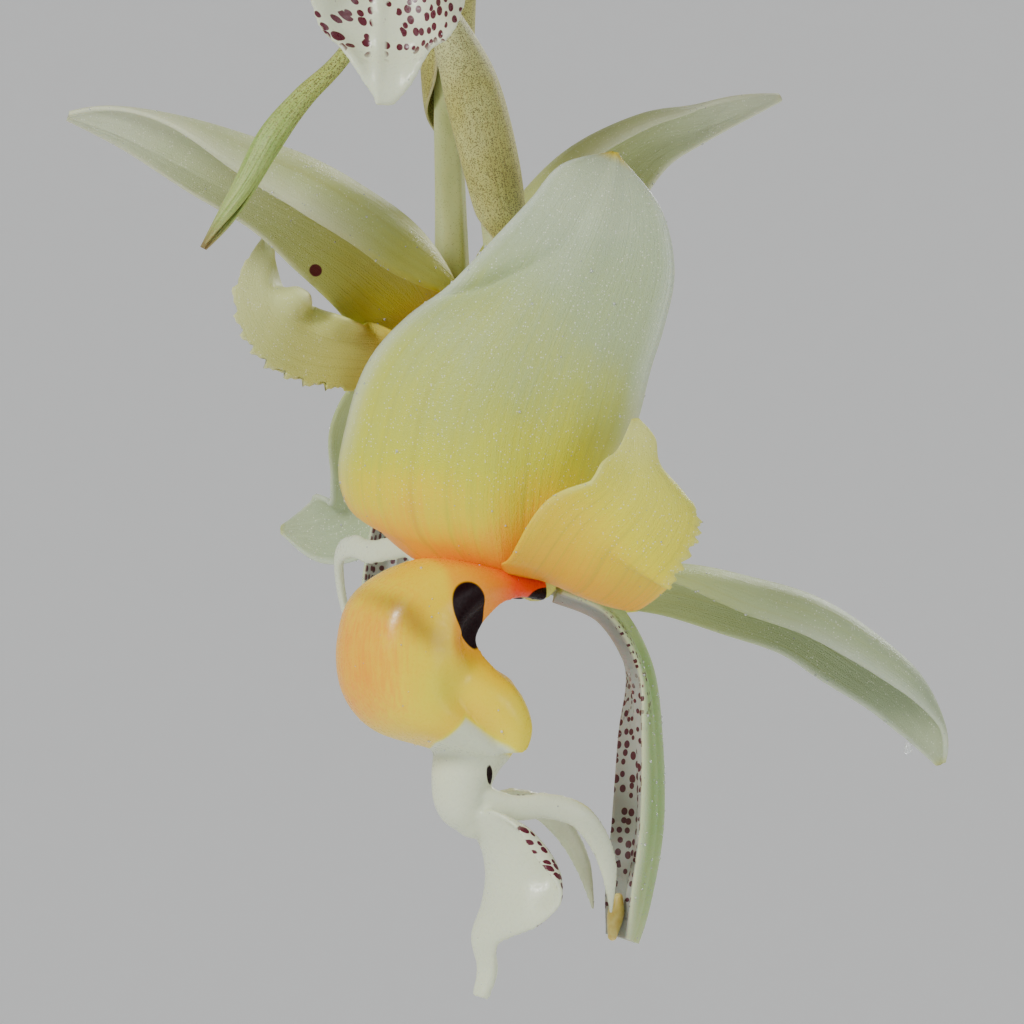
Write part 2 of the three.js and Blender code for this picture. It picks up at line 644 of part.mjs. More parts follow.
// The hanger: three straight wires from a crimped collar to hooked ends in the rim, and the hook above it.
const WIRE_TURNS = [90, 210, 330];
const WIRE_TOP = [2.6, 0, -36];
const WIRE_END = [
  [64, -252], [65.6, -258], [67.2, -263.6], [71.4, -266.2], [76.2, -264.8], [78, -259.6],
  [77.8, -253.6],
];
const HOOK_PATH = [
  [0, 0, -44], [0, 0, -38], [0, 0, -32], [3.4, 0, -27], [10, 0, -21.6], [13.5, 0, -12],
  [9.6, 0, -2.4], [0, 0, 1.5], [-9.6, 0, -2.4], [-13.5, 0, -12], [-12.4, 0, -18.6],
];
const outward = (solid) => (solid.volume() < 0 ? solid.mirror([0, 1, 0]) : solid);

for (const [i, turn] of WIRE_TURNS.entries()) {
  const end = WIRE_END.map(([r, z]) => [r, 0, z]);
  const wire = (grow) =>
    rod([WIRE_TOP, end[1]], [[1, 1]], 6, 1, [[0, 1, 0]], grow).add(
      rod(end, [[1, 1]], 6, 10, [[0, 1, 0]], grow),
    );
  fit(`hanger_wire_${i + 1}`, WIRE, (grow) => wire(grow).rotate([0, 0, turn]));
}
fit("hanger_hook", WIRE, (grow) =>
  rod(HOOK_PATH, [[1.5, 1.5]], 8, 24, [[0, 1, 0]], grow).add(
    solidOf(
      new THREE.CylinderGeometry(5.5 + grow, 4.5 + grow, 13 + 2 * grow, 16),
      new THREE.Matrix4().makeRotationX(Math.PI / 2).setPosition(0, 0, -39.5),
    ),
  ),
);

// The clay pot: a turned wall and floor with a wide hole in the floor for the spray, slots in the sides for
// air, and three holes in the rim for the wires.
const SLOTS = 7;
const FLOOR_HOLE_RADIUS = 20;
const slotShape = new THREE.Shape();
slotShape.moveTo(-3.5, -15);
slotShape.absarc(0, -15, 3.5, Math.PI, 2 * Math.PI);
slotShape.absarc(0, 15, 3.5, 0, Math.PI);
const slot = new THREE.ExtrudeGeometry(slotShape, { depth: 26, bevelEnabled: false, curveSegments: 3 });

function pot(grow) {
  const profile = [
    [FLOOR_HOLE_RADIUS - grow, POT_BASE_Z - grow],
    [POT_BASE_RADIUS + grow, POT_BASE_Z - grow],
    [POT_RIM_RADIUS - 7 + grow, POT_RIM_Z - 22],
    [POT_RIM_RADIUS - 2 + grow, POT_RIM_Z - 20],
    [POT_RIM_RADIUS + grow, POT_RIM_Z - 1.5],
    [POT_RIM_RADIUS - 1.5, POT_RIM_Z + grow],
    [POT_RIM_RADIUS - POT_WALL - 1 - grow, POT_RIM_Z + grow],
    [POT_RIM_RADIUS - POT_WALL - 5 - grow, POT_RIM_Z - 22],
    [POT_BASE_RADIUS - POT_WALL + 1 - grow, POT_BASE_Z + 6 + grow],
    [FLOOR_HOLE_RADIUS - grow, POT_BASE_Z + 6 + grow],
    [FLOOR_HOLE_RADIUS - grow, POT_BASE_Z - grow],
  ];
  const turned = new THREE.LatheGeometry(profile.map(([r, z]) => new THREE.Vector2(r, z)), 32);
  let solid = outward(solidOf(turned, new THREE.Matrix4().makeRotationX(Math.PI / 2)));
  if (grow > 0) return solid;
  for (let i = 0; i < SLOTS; i++) {
    const place = new THREE.Matrix4()
      .makeRotationZ((2 * Math.PI * (i + 0.5)) / SLOTS)
      .multiply(new THREE.Matrix4().makeTranslation(44, 0, POT_BASE_Z + 42))
      .multiply(new THREE.Matrix4().makeBasis(v3([0, 1, 0]), v3([0, 0, 1]), v3([1, 0, 0])));
    solid = solid.subtract(solidOf(slot, place));
  }
  return solid;
}
fit("pot", CLAY, pot);

// The stem with the flowers' stalks, whose thick ends are the ovaries
const stalkOf = ({ stalk, stalkRadii }, grow) =>
  rod(lowered(stalk), round(stalkRadii), 6, 8, [[1, 0, 0.1]], grow);
fit("scape", PALE_GREEN, (grow) =>
  FLOWERS.reduce(
    (stem, flower) => stem.add(stalkOf(flower, grow)),
    rod(SCAPE, round(SCAPE_RADII), 8, 14, [[0, -1, 0.05]], grow),
  ),
);

// The flowers. Sepals and petals are one body with the boss that they spring from.
const BOSS = [[0.8, 0, 2.4], [0.8, 0, 0.8], [0.8, 0, -0.8]];
for (const flower of FLOWERS) {
  const group = new THREE.Group();
  const turn = new THREE.Euler(0, -flower.raise * DEGREE, flower.yaw * DEGREE, "ZYX");
  const swing = new THREE.Matrix4().makeRotationY(flower.swing * DEGREE);
  group.applyMatrix4(swing.multiply(new THREE.Matrix4().makeRotationFromEuler(turn)));
  group.position.set(...flower.at);
  part.add(group);
  group.updateMatrixWorld(true);
  const fine = flower.name === "low";
  const inPart = (solid) => solid.transform(group.matrixWorld.elements);

  const bract = rolled(lowered(flower.bract.spine), [flower.bract.face], 12.6);
  fit(`${flower.name}_bract`, SPECKLED, (grow) => blade(bract, 6, 8, grow));

  const boss = (grow) => rod(BOSS, [[4.2, 4.2], [5, 5], [3.8, 3.8]], 8, 2, [[1, 0, 0]], grow);
  const bossSolid = cleared(inPart(boss(0)));
  const bossRoom = inPart(boss(GAP));
  take(bossRoom);
  const cap = (grow) => rod(ANTHER_CAP.spine, ANTHER_CAP.radii, 6, 3, [[1, 0, 0]], grow);
  fit(`${flower.name}_anther_cap`, TAN, cap, group);
  fit(`${flower.name}_column`, PALE_GREEN, (grow) => blade(COLUMN, fine ? 10 : 8, 6, grow), group);
  fit(`${flower.name}_lip`, ORANGE_LIP, (grow) => lip(fine, flower.splay, grow), group);

  const tepal = (shape, grow) => blade(shape, fine ? 10 : 8, fine ? 8 : 6, grow);
  const tepals = (grow) => [
    ...flower.own.map((shape) => tepal(shape, grow).translate(flower.at)),
    ...flower.turned.map((shape) => inPart(tepal(shape, grow))),
  ];
  taken.splice(taken.findIndex(({ solid }) => solid === bossRoom), 1);
  const perianth = tepals(0).reduce((body, one) => body.add(cleared(one)), bossSolid);
  addNode(`${flower.name}_sepals_and_petals`, largest(perianth).simplify(SMALLEST_STEP), CREAM, group);
  [bossRoom, ...tepals(GAP)].forEach(take);
}

// Bracts of the stem: a narrow one that hangs out to the left, and two sheaths higher up
fit("narrow_bract", SPECKLED, (grow) => blade(NARROW_BRACT, 9, 6, grow));
const SHEATHS = {
  sheath_low: [[0.6, -0.2, -414], [-0.2, -0.1, -422], [-1.5, 0.3, -431], [-3.4, 0.8, -441], [-5, 1.2, -448]],
  sheath_high: [[4, -0.8, -364], [4.3, -0.9, -371], [4, -0.9, -380], [3, -0.8, -390], [2.3, -0.7, -397]],
};
for (const [name, spine] of Object.entries(SHEATHS))
  fit(name, SPECKLED, (grow) => blade(rolled(spine, [[-1, 0.2, 0]], 13, 0.9), 5, 8, grow));

// The plant above the pot: a creeping rhizome, ridged pseudobulbs, and one pleated leaf on each bulb
const RHIZOME = [[-46, 20, -271], [-26, 12, -268], [-4, 8, -267], [18, 2, -268], [40, -10, -271]];
const BULB_RIDGES = 7;
const BULBS = [
  { at: [-40, 22, -277], lean: [-9, 5], tall: 50, wide: 15.5 },
  { at: [-16, -16, -277], lean: [-3, -6], tall: 56, wide: 16 },
  { at: [22, 26, -277], lean: [5, 7], tall: 54, wide: 16 },
  { at: [36, -20, -277], lean: [8, -5], tall: 47, wide: 15 },
];
const BULB_SHAPE = [0.42, 0.86, 1, 0.93, 0.7, 0.42, 0.24];
const LEAVES = [
  { bulb: 0, rise: 150, reach: 150, way: 158, face: 0.55 },
  { bulb: 1, rise: 165, reach: 120, way: 236, face: 0.5 },
  { bulb: 2, rise: 175, reach: 125, way: 62, face: 0.5 },
  { bulb: 3, rise: 145, reach: 150, way: -22, face: 0.55 },
];

fit("rhizome", BROWN_STEM, (grow) => rod(RHIZOME, round([3.5, 5, 5.5, 5, 3.5]), 8, 10, [[0, 0, 1]], grow));

for (const [i, { at, lean, tall, wide }] of BULBS.entries()) {
  const steps = BULB_SHAPE.length - 1;
  const top = [lean[0], lean[1], tall];
  const spine = BULB_SHAPE.map((_, k) => at.map((value, axis) => value + (top[axis] * k) / steps));
  const ridge = (turn) => 1 + 0.05 * Math.cos(BULB_RIDGES * turn);
  const radii = BULB_SHAPE.map((share) => [wide * share, wide * share * 0.82]);
  fit(`pseudobulb_${i + 1}`, BULB_GREEN, (grow) => rod(spine, radii, 14, 7, [[1, 0.3, 0]], grow, ridge));
}

// A leaf's stalk is its narrow, channelled base; its blade is pleated along the veins and arches over.
for (const [i, { bulb, rise, reach, way, face }] of LEAVES.entries()) {
  const { at, lean, tall } = BULBS[bulb];
  const foot = [at[0] + lean[0], at[1] + lean[1], at[2] + tall + 0.5];
  const [c, n] = [Math.cos(way * DEGREE), Math.sin(way * DEGREE)];
  const arch = [[0, 0], [0.04, 0.24], [0.12, 0.5], [0.27, 0.75], [0.49, 0.93], [0.75, 1], [1, 0.93]];
  const leaf = {
    spine: arch.map(([out, up]) => [
      foot[0] + c * reach * out,
      foot[1] + n * reach * out,
      foot[2] + rise * up,
    ]),
    face: [[-c, -n, face]],
    left: [2.6, 3, 12, 29, 35, 26, 0.8],
    right: [2.6, 3, 12, 29, 35, 26, 0.8],
    curlLeft: [70, 70, 50, 30, 20, 15, 10],
    curlRight: [70, 70, 50, 30, 20, 15, 10],
    ripple: (s, t) => 1.1 * Math.cos(4 * Math.PI * t) * Math.sin(Math.PI * Math.max(0, s * 1.2 - 0.2)),
    thick: 1,
  };
  fit(`leaf_${i + 1}`, LEAF_GREEN, (grow) => blade(leaf, 9, 8, grow));
}

// The bark mix that fills the pot, with loose-looking chips fused to its top
const MIX_TOP_Z = POT_RIM_Z - 14;
const CHIPS = 10;
const GOLDEN_TURN = 2.4; // spreads the chips evenly round the pot
function mix(grow) {
  const profile = [
    [0, POT_BASE_Z + 6.4],
    [POT_BASE_RADIUS - POT_WALL + 0.4, POT_BASE_Z + 6.4],
    [POT_RIM_RADIUS - POT_WALL - 6.6, MIX_TOP_Z - 1],
    [44, MIX_TOP_Z + 2],
    [0, MIX_TOP_Z + 4],
  ];
  const turned = new THREE.LatheGeometry(profile.map(([r, z]) => new THREE.Vector2(r, z)), 20);
  let solid = outward(solidOf(turned, new THREE.Matrix4().makeRotationX(Math.PI / 2)));
  for (let i = 0; i < CHIPS; i++) {
    const turn = i * GOLDEN_TURN;
    const radius = 12 + 44 * Math.sqrt((i + 0.5) / CHIPS);
    const chip = new THREE.BoxGeometry(15 - (i % 4), 9 + (i % 3), 5);
    const tilt = new THREE.Euler(0.3 * Math.sin(i * 1.7), 0.3 * Math.cos(i * 2.3), i * 1.1);
    const place = new THREE.Matrix4().makeRotationFromEuler(tilt);
    place.setPosition(radius * Math.cos(turn), radius * Math.sin(turn), MIX_TOP_Z + 1.6);
    solid = solid.add(solidOf(chip, place));
  }
  return solid;
}
fit("potting_mix", BARK, mix);

export default part;
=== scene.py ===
# A potted orchid of the upside-down kind: a clay orchid pot on a three-wire hanger, with bulbs and pleated
# leaves above, and a spray of three large waxy flowers that hangs through the hole in the pot's floor.
# Metres, +Z up; the origin is where the hook rests on its rail. Outlines are stations in millimetres.
import math

import bmesh
import bpy
import numpy as np
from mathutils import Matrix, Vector
from mathutils.kdtree import KDTree


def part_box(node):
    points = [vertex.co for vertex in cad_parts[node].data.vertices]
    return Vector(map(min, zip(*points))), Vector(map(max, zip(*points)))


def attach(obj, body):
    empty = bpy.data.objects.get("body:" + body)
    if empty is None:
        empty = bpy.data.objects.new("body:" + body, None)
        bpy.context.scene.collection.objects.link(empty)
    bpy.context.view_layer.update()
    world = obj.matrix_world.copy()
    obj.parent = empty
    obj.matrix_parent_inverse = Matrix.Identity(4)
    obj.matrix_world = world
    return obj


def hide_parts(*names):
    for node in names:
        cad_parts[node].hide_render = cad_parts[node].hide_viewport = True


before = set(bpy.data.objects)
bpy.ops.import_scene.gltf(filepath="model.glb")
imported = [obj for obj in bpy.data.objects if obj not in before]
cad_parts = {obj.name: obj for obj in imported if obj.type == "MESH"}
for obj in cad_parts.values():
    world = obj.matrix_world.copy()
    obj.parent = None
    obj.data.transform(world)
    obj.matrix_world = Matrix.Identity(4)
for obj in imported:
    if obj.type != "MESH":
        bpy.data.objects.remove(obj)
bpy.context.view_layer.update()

# The hanger's wires: thin galvanised wire, cut to one length. Each runs straight from the crimped collar to
# the rim of the pot, passes under it and hooks up through its hole.
MM = 0.001
WIRE_TURNS = (90, 210, 330)
WIRE_RADIUS = 1.0
WIRE_TOP = (2.6, 0, -36)
WIRE_END = [
    (64, 0, -252), (65.6, 0, -258), (67.2, 0, -263.6), (71.4, 0, -266.2), (76.2, 0, -264.8),
    (78, 0, -259.6), (77.8, 0, -253.6),
]


def spline(stations, s):
    """The values at each s, from 0 to 1, of a smooth curve through equally spaced stations."""
    stations = np.asarray(stations, float)
    last = len(stations) - 1
    if last == 0:
        return np.repeat(stations, len(s), axis=0)
    x = np.clip(s, 0, 1) * last
    i = np.minimum(x.astype(int), last - 1)
    f = (x - i).reshape((-1,) + (1,) * (stations.ndim - 1))
    weights = (
        -0.5 * f + f**2 - 0.5 * f**3,
        1 - 2.5 * f**2 + 1.5 * f**3,
        0.5 * f + 2 * f**2 - 1.5 * f**3,
        -0.5 * f**2 + 0.5 * f**3,
    )
    return sum(w * stations[np.clip(i + k, 0, last)] for k, w in zip((-1, 0, 1, 2), weights))


def unit(vectors):
    return vectors / np.maximum(np.linalg.norm(vectors, axis=-1, keepdims=True), 1e-12)


def axes_at(spine, face, s):
    """A spine's points at s, and there its direction, its right side and the way it faces."""
    step = 0.01
    along = unit(spline(spine, s + step) - spline(spine, s - step))
    side = unit(np.cross(along, spline(face, s)))
    return spline(spine, s), along, side, np.cross(side, along)


def rod(spine, radii, sides, rows, face=((0, -1, 0.05),), ridge=None, dome=4):
    """Points, faces and corner UVs of a closed rod with round ends. radii hold half sizes, front and side."""
    s = np.linspace(0, 1, rows + 1)
    lift = np.sin(np.linspace(0.12, 0.92, dome) * math.pi / 2)
    s = np.concatenate([np.zeros(dome), s, np.ones(dome)])
    shrink = np.concatenate([lift, np.ones(rows + 1), lift[::-1]])
    point, along, side, out = axes_at(spine, face, s)
    half = spline(radii, s)
    swell = half.min(axis=1) * np.sqrt(1 - np.minimum(shrink, 1) ** 2)
    swell[: dome + rows] *= -1
    turn = np.linspace(0, 2 * math.pi, sides, endpoint=False)
    raised = np.ones((len(s), sides)) if ridge is None else ridge(turn[None, :], s[:, None])
    raised = (raised * shrink[:, None])[..., None]
    points = (
        (point + along * swell[:, None])[:, None]
        + out[:, None] * half[:, None, :1] * raised * np.cos(turn)[None, :, None]
        + side[:, None] * half[:, None, 1:] * raised * np.sin(turn)[None, :, None]
    )
    i, k = np.meshgrid(np.arange(len(s) - 1), np.arange(sides), indexing="ij")
    i, k = i.ravel(), k.ravel()
    after = (k + 1) % sides
    quads = np.stack([i * sides + k, i * sides + after, (i + 1) * sides + after, (i + 1) * sides + k], 1)
    around = np.stack([k, k + 1, k + 1, k], 1) / sides
    upward = s[np.stack([i, i, i + 1, i + 1], 1)]
    last = (len(s) - 1) * sides
    faces = quads.tolist() + [list(range(sides))[::-1], list(range(last, last + sides))]
    wall_uvs = np.stack([around, upward], 2).reshape(-1, 2)
    uvs = np.concatenate([wall_uvs, np.zeros((sides, 2)), np.ones((sides, 2))])
    return points.reshape(-1, 3), faces, uvs


def joined(*parts):
    """Several meshes, each of points, faces and corner UVs, as one."""
    points, faces, uvs, start = [], [], [], 0
    for part_points, part_faces, part_uvs in parts:
        points.append(part_points)
        faces += [[start + v for v in face] for face in part_faces]
        uvs.append(part_uvs)
        start += len(part_points)
    return np.concatenate(points), faces, np.concatenate(uvs)


def meshed(name, solid, **attributes):
    """A mesh from millimetres, with its UV map and a value for each point under every name given."""
    points, faces, uvs = solid
    mesh = bpy.data.meshes.new(name)
    mesh.from_pydata((np.asarray(points) * MM).tolist(), [], faces)
    mesh.uv_layers.new(name="skin").data.foreach_set("uv", np.asarray(uvs, np.float32).ravel())
    for key, values in attributes.items():
        values = np.asarray(values, np.float32)
        kind, field = ("FLOAT_VECTOR", "vector") if values.ndim == 2 else ("FLOAT", "value")
        mesh.attributes.new(key, kind, "POINT").data.foreach_set(field, values.ravel())
    return mesh


def linked(name, data):
    """An object of this data, put in the scene."""
    made = bpy.data.objects.new(name, data)
    bpy.context.scene.collection.objects.link(made)
    return made


def worked_out(piece):
    """The plain mesh of a piece with its modifiers applied."""
    return bpy.data.meshes.new_from_object(piece.evaluated_get(bpy.context.evaluated_depsgraph_get()))


def shown(name, solid, coat, replaced=(), slot=None, **attributes):
    """A named smooth piece of a mesh in millimetres that rides on the body, with values for its points."""
    return dressed(name, meshed(name, solid, **attributes), coat, replaced)


def dressed(name, mesh, coat, replaced=()):
    """A piece of a finished mesh, smooth, in its material, that stands for the frame's nodes."""
    mesh.shade_smooth()
    mesh.materials.clear()
    mesh.materials.append(coat)
    piece = linked(name, mesh)
    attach(piece, "root")
    if replaced:
        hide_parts(*replaced)
    return piece


def turned(points, degrees):
    """Points turned about the Z axis."""
    c, n = math.cos(math.radians(degrees)), math.sin(math.radians(degrees))
    return points @ np.array([[c, n, 0], [-n, c, 0], [0, 0, 1]])


def tint(code):
    """A colour such as e9ecc8 as linear red, green, blue and alpha."""
    srgb = np.array([int(code[i : i + 2], 16) for i in (0, 2, 4)]) / 255
    linear = np.where(srgb <= 0.04045, srgb / 12.92, ((srgb + 0.055) / 1.055) ** 2.4)
    return (*linear, 1.0)


class Shading:
    """A tree of shader nodes, and short calls that add one node each and give back its output."""

    def __init__(self, tree, shader=None):
        self.tree = tree
        self.shader = shader

    def add(self, kind, settings=(), **inputs):
        node = self.tree.nodes.new(kind if "Node" in kind else "ShaderNode" + kind)
        for key, value in dict(settings).items():
            setattr(node, key, value)
        for key, value in inputs.items():
            self.give(node.inputs[key.replace("_", " ")], value)
        return node

    def give(self, socket, value):
        if isinstance(value, bpy.types.NodeSocket):
            self.tree.links.new(value, socket)
        else:
            socket.default_value = value

    def coat(self, **inputs):
        """Gives the Principled shader its inputs."""
        for key, value in inputs.items():
            self.give(self.shader.inputs[key.replace("_", " ")], value)

    def sum(self, operation, *values):
        node = self.tree.nodes.new("ShaderNodeMath")
        node.operation = operation
        for socket, value in zip(node.inputs, values):
            self.give(socket, value)
        return node.outputs[0]

    def between(self, value, low, high, to_low=0.0, to_high=1.0):
        """value carried smoothly from low..high to to_low..to_high."""
        node = self.add("MapRange", {"interpolation_type": "SMOOTHSTEP"}, Value=value)
        for socket, number in zip(node.inputs[1:5], (low, high, to_low, to_high)):
            socket.default_value = number
        return node.outputs[0]

    def mix(self, share, first, second):
        node = self.tree.nodes.new("ShaderNodeMix")
        node.data_type = "RGBA"
        for index, value in ((0, share), (6, first), (7, second)):
            self.give(node.inputs[index], value)
        return node.outputs[2]

    def ramp(self, value, *stops):
        """Colours at places from 0 to 1."""
        node = self.add("ValToRGB", Fac=value)
        elements = node.color_ramp.elements
        while len(elements) < len(stops):
            elements.new(1.0)
        for element, (place, code) in zip(elements, stops):
            element.position = place
            element.color = tint(code)
        return node.outputs["Color"]

    def where(self):
        """Object coordinates, which are the part's own, in metres."""
        return self.tree.nodes.new("ShaderNodeTexCoord").outputs["Object"]

    def skin(self):
        """The UV map, apart: across or round the piece, and along it."""
        apart = self.add("SeparateXYZ", Vector=self.laid_flat())
        return apart.outputs[0], apart.outputs[1]

    def stretched(self, vector, x, y, z):
        return self.add("Mapping", Vector=vector, Scale=(x, y, z)).outputs[0]

    def noise(self, vector, scale, detail=3.0, roughness=0.5):
        node = self.add("TexNoise", Vector=vector, Scale=scale, Detail=detail, Roughness=roughness)
        return node.outputs[0]

    def bump(self, height, depth, under=None, strength=1.0):
        node = self.add("Bump", Height=height, Distance=depth, Strength=strength)
        if under is not None:
            self.give(node.inputs["Normal"], under)
        return node.outputs[0]

    def laid_flat(self):
        """The UV map, whole."""
        return self.add("UVMap", {"uv_map": "skin"}).outputs[0]

    def off_middle(self, across):
        """How far out a place lies: 0 on the midrib, 1 on either margin."""
        return self.sum("ABSOLUTE", self.sum("MULTIPLY_ADD", across, 2.0, -1.0))

    def product(self, *values):
        """All the values multiplied."""
        made = values[0]
        for value in values[1:]:
            made = self.sum("MULTIPLY", made, value)
        return made

    def effect(self, group, **inputs):
        return self.add("Group", {"node_tree": group}, **inputs).outputs[0]

    def value_of(self, attribute):
        return self.add("Attribute", {"attribute_name": attribute}).outputs["Fac"]


def finish(name, **values):
    """A new material of one Principled shader with the given values, and the calls that add to it."""
    made = bpy.data.materials.new(name)
    made.use_nodes = True
    nodes = Shading(made.node_tree, made.node_tree.nodes["Principled BSDF"])
    nodes.coat(**values)
    return made, nodes


galvanised, nodes = finish("galvanised_wire", Metallic=0.85, Specular_IOR_Level=0.5)
spangle = nodes.noise(nodes.where(), 900.0, 4.0)
dulled = nodes.noise(nodes.where(), 60.0, 5.0, 0.6)
nodes.coat(Base_Color=nodes.ramp(dulled, (0.3, "8d9092"), (0.55, "b9bcbd"), (0.8, "d8d8d4")))
nodes.coat(Roughness=nodes.between(dulled, 0.3, 0.7, 0.28, 0.55))
nodes.coat(Normal=nodes.bump(spangle, 0.0001))

for number, turn in enumerate(WIRE_TURNS, 1):
    radii = [(WIRE_RADIUS, WIRE_RADIUS)]
    straight = rod([WIRE_TOP, WIRE_END[1]], radii, 16, 2, [(0, 1, 0)])
    hooked = rod(WIRE_END, radii, 16, 60, [(0, 1, 0)])
    points, faces, uvs = joined(straight, hooked)
    name = f"hanger_wire_{number}"
    shown(name + "_bent", (turned(points, turn), faces, uvs), galvanised, [name], "galvanised_wire")

# The hook: thicker wire bent into a crook, with the collar that is crimped round it and the three wires.
# Two grooves are rolled into the collar, and its edges are broken.
HOOK_RADIUS = 1.5
HOOK_PATH = [
    (0, 0, -44), (0, 0, -38), (0, 0, -32), (3.4, 0, -27), (10, 0, -21.6), (13.5, 0, -12),
    (9.6, 0, -2.4), (0, 0, 1.5), (-9.6, 0, -2.4), (-13.5, 0, -12), (-12.4, 0, -18.6),
]
COLLAR = [
    (0, -46), (3.8, -46), (4.5, -45.4), (4.75, -43.6), (4.3, -43), (4.35, -42.2), (4.9, -41.6),
    (5.15, -37.6), (4.65, -37), (4.7, -36.2), (5.25, -35.6), (5.4, -33.6), (4.9, -33), (0, -33),
]


def lathe(profile, sides):
    """A solid turned about the Z axis from points of radius and height, which run upwards on its outside."""
    profile = np.asarray(profile, float)
    turn = np.linspace(0, 2 * math.pi, sides, endpoint=False)
    ring = np.stack([np.cos(turn), np.sin(turn)], 1)
    points = np.concatenate(
        [
            np.repeat(profile[:, None, :1], sides, 1) * ring[None],
            np.repeat(profile[:, None, 1:], sides, 1),
        ],
        axis=2,
    ).reshape(-1, 3)
    i, k = np.meshgrid(np.arange(len(profile) - 1), np.arange(sides), indexing="ij")
    i, k = i.ravel(), k.ravel()
    after = (k + 1) % sides
    quads = np.stack([i * sides + k, i * sides + after, (i + 1) * sides + after, (i + 1) * sides + k], 1)
    upward = np.stack([i, i, i + 1, i + 1], 1) / (len(profile) - 1)
    uvs = np.stack([np.stack([k, k + 1, k + 1, k], 1) / sides, upward], 2).reshape(-1, 2)
    return points, quads.tolist(), uvs


def clean(mesh):
    """Closes a turned mesh's poles and seams, and points its faces outwards."""
    work = bmesh.new()
    work.from_mesh(mesh)
    bmesh.ops.remove_doubles(work, verts=work.verts, dist=1e-6)
    bmesh.ops.dissolve_degenerate(work, edges=work.edges, dist=1e-7)
    bmesh.ops.recalc_face_normals(work, faces=work.faces)
    work.to_mesh(mesh)
    work.free()


hook = shown(
    "hanger_hook_bent",
    joined(rod(HOOK_PATH, [(HOOK_RADIUS, HOOK_RADIUS)], 20, 150, [(0, 1, 0)]), lathe(COLLAR, 48)),
    galvanised,
    ["hanger_hook"],
    "galvanised_wire",
)
clean(hook.data)

# The pot: red clay, thrown thick and fired without a glaze, with a wide hole in its floor for the spray,
# slots cut through the wall for air, and three holes in the rim. Damp has left lime and a green bloom.
pot_low, pot_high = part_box("pot")
POT_RIM_Z = pot_high.z / MM
POT_BASE_Z = pot_low.z / MM
POT_RIM_RADIUS = pot_high.x / MM
POT_BASE_RADIUS = 52
POT_WALL = 5
FLOOR_HOLE_RADIUS = 20
SLOTS = 7
SLOT_HALF_WIDTH = 3.5
SLOT_HALF_HEIGHT = 18.5
SLOT_MIDDLE_Z = POT_BASE_Z + 42


def eased(corners, radius, steps=4):
    """An outline with each corner but the first and last rounded off by a short curve."""
    corners = np.asarray(corners, float)
    made = [corners[0]]
    for before, corner, after in zip(corners, corners[1:], corners[2:]):
        reach = min(radius, np.linalg.norm(before - corner) / 2, np.linalg.norm(after - corner) / 2)
        first = corner + unit(before - corner) * reach
        last = corner + unit(after - corner) * reach
        for f in np.linspace(0, 1, steps + 1):
            made.append((1 - f) ** 2 * first + 2 * f * (1 - f) * corner + f**2 * last)
    return np.array([*made, corners[-1]])


def split(outline, longest):
    """An outline with points added where two lie further apart than longest."""
    made = [outline[0]]
    for start, end in zip(outline, outline[1:]):
        count = max(1, math.ceil(np.linalg.norm(end - start) / longest))
        made += [start + (end - start) * (k + 1) / count for k in range(count)]
    return np.array(made)


def prism(outline, near, far):
    """A bar across the wall from an outline of sideways and upward points."""
    count = len(outline)
    points = np.array([(depth, x, z) for depth in (near, far) for x, z in outline])
    faces = [list(range(count))[::-1], list(range(count, 2 * count))]
    faces += [[k, (k + 1) % count, count + (k + 1) % count, count + k] for k in range(count)]
    return points, faces


def cutter(points, faces, degrees):
    """An object to cut the wall with, turned about the pot's axis."""
    mesh = bpy.data.meshes.new("cutter")
    mesh.from_pydata((turned(points, degrees) * MM).tolist(), [], faces)
    clean(mesh)
    return linked("cutter", mesh)


pot_outline = [
    (FLOOR_HOLE_RADIUS, POT_BASE_Z + 3),
    (FLOOR_HOLE_RADIUS, POT_BASE_Z),
    (POT_BASE_RADIUS, POT_BASE_Z),
    (POT_RIM_RADIUS - 7, POT_RIM_Z - 22),
    (POT_RIM_RADIUS - 2, POT_RIM_Z - 20),
    (POT_RIM_RADIUS, POT_RIM_Z - 1.5),
    (POT_RIM_RADIUS - 1.5, POT_RIM_Z),
    (POT_RIM_RADIUS - POT_WALL - 1, POT_RIM_Z),
    (POT_RIM_RADIUS - POT_WALL - 5, POT_RIM_Z - 22),
    (POT_BASE_RADIUS - POT_WALL + 1, POT_BASE_Z + 6),
    (FLOOR_HOLE_RADIUS, POT_BASE_Z + 6),
    (FLOOR_HOLE_RADIUS, POT_BASE_Z + 3),
]
stadium = []
for middle, start in ((SLOT_HALF_HEIGHT - SLOT_HALF_WIDTH, 0), (SLOT_HALF_WIDTH - SLOT_HALF_HEIGHT, 180)):
    for angle in np.radians(np.linspace(start, start + 180, 13)):
        sideways = SLOT_HALF_WIDTH * math.cos(angle)
        stadium.append((sideways, SLOT_MIDDLE_Z + middle + SLOT_HALF_WIDTH * math.sin(angle)))

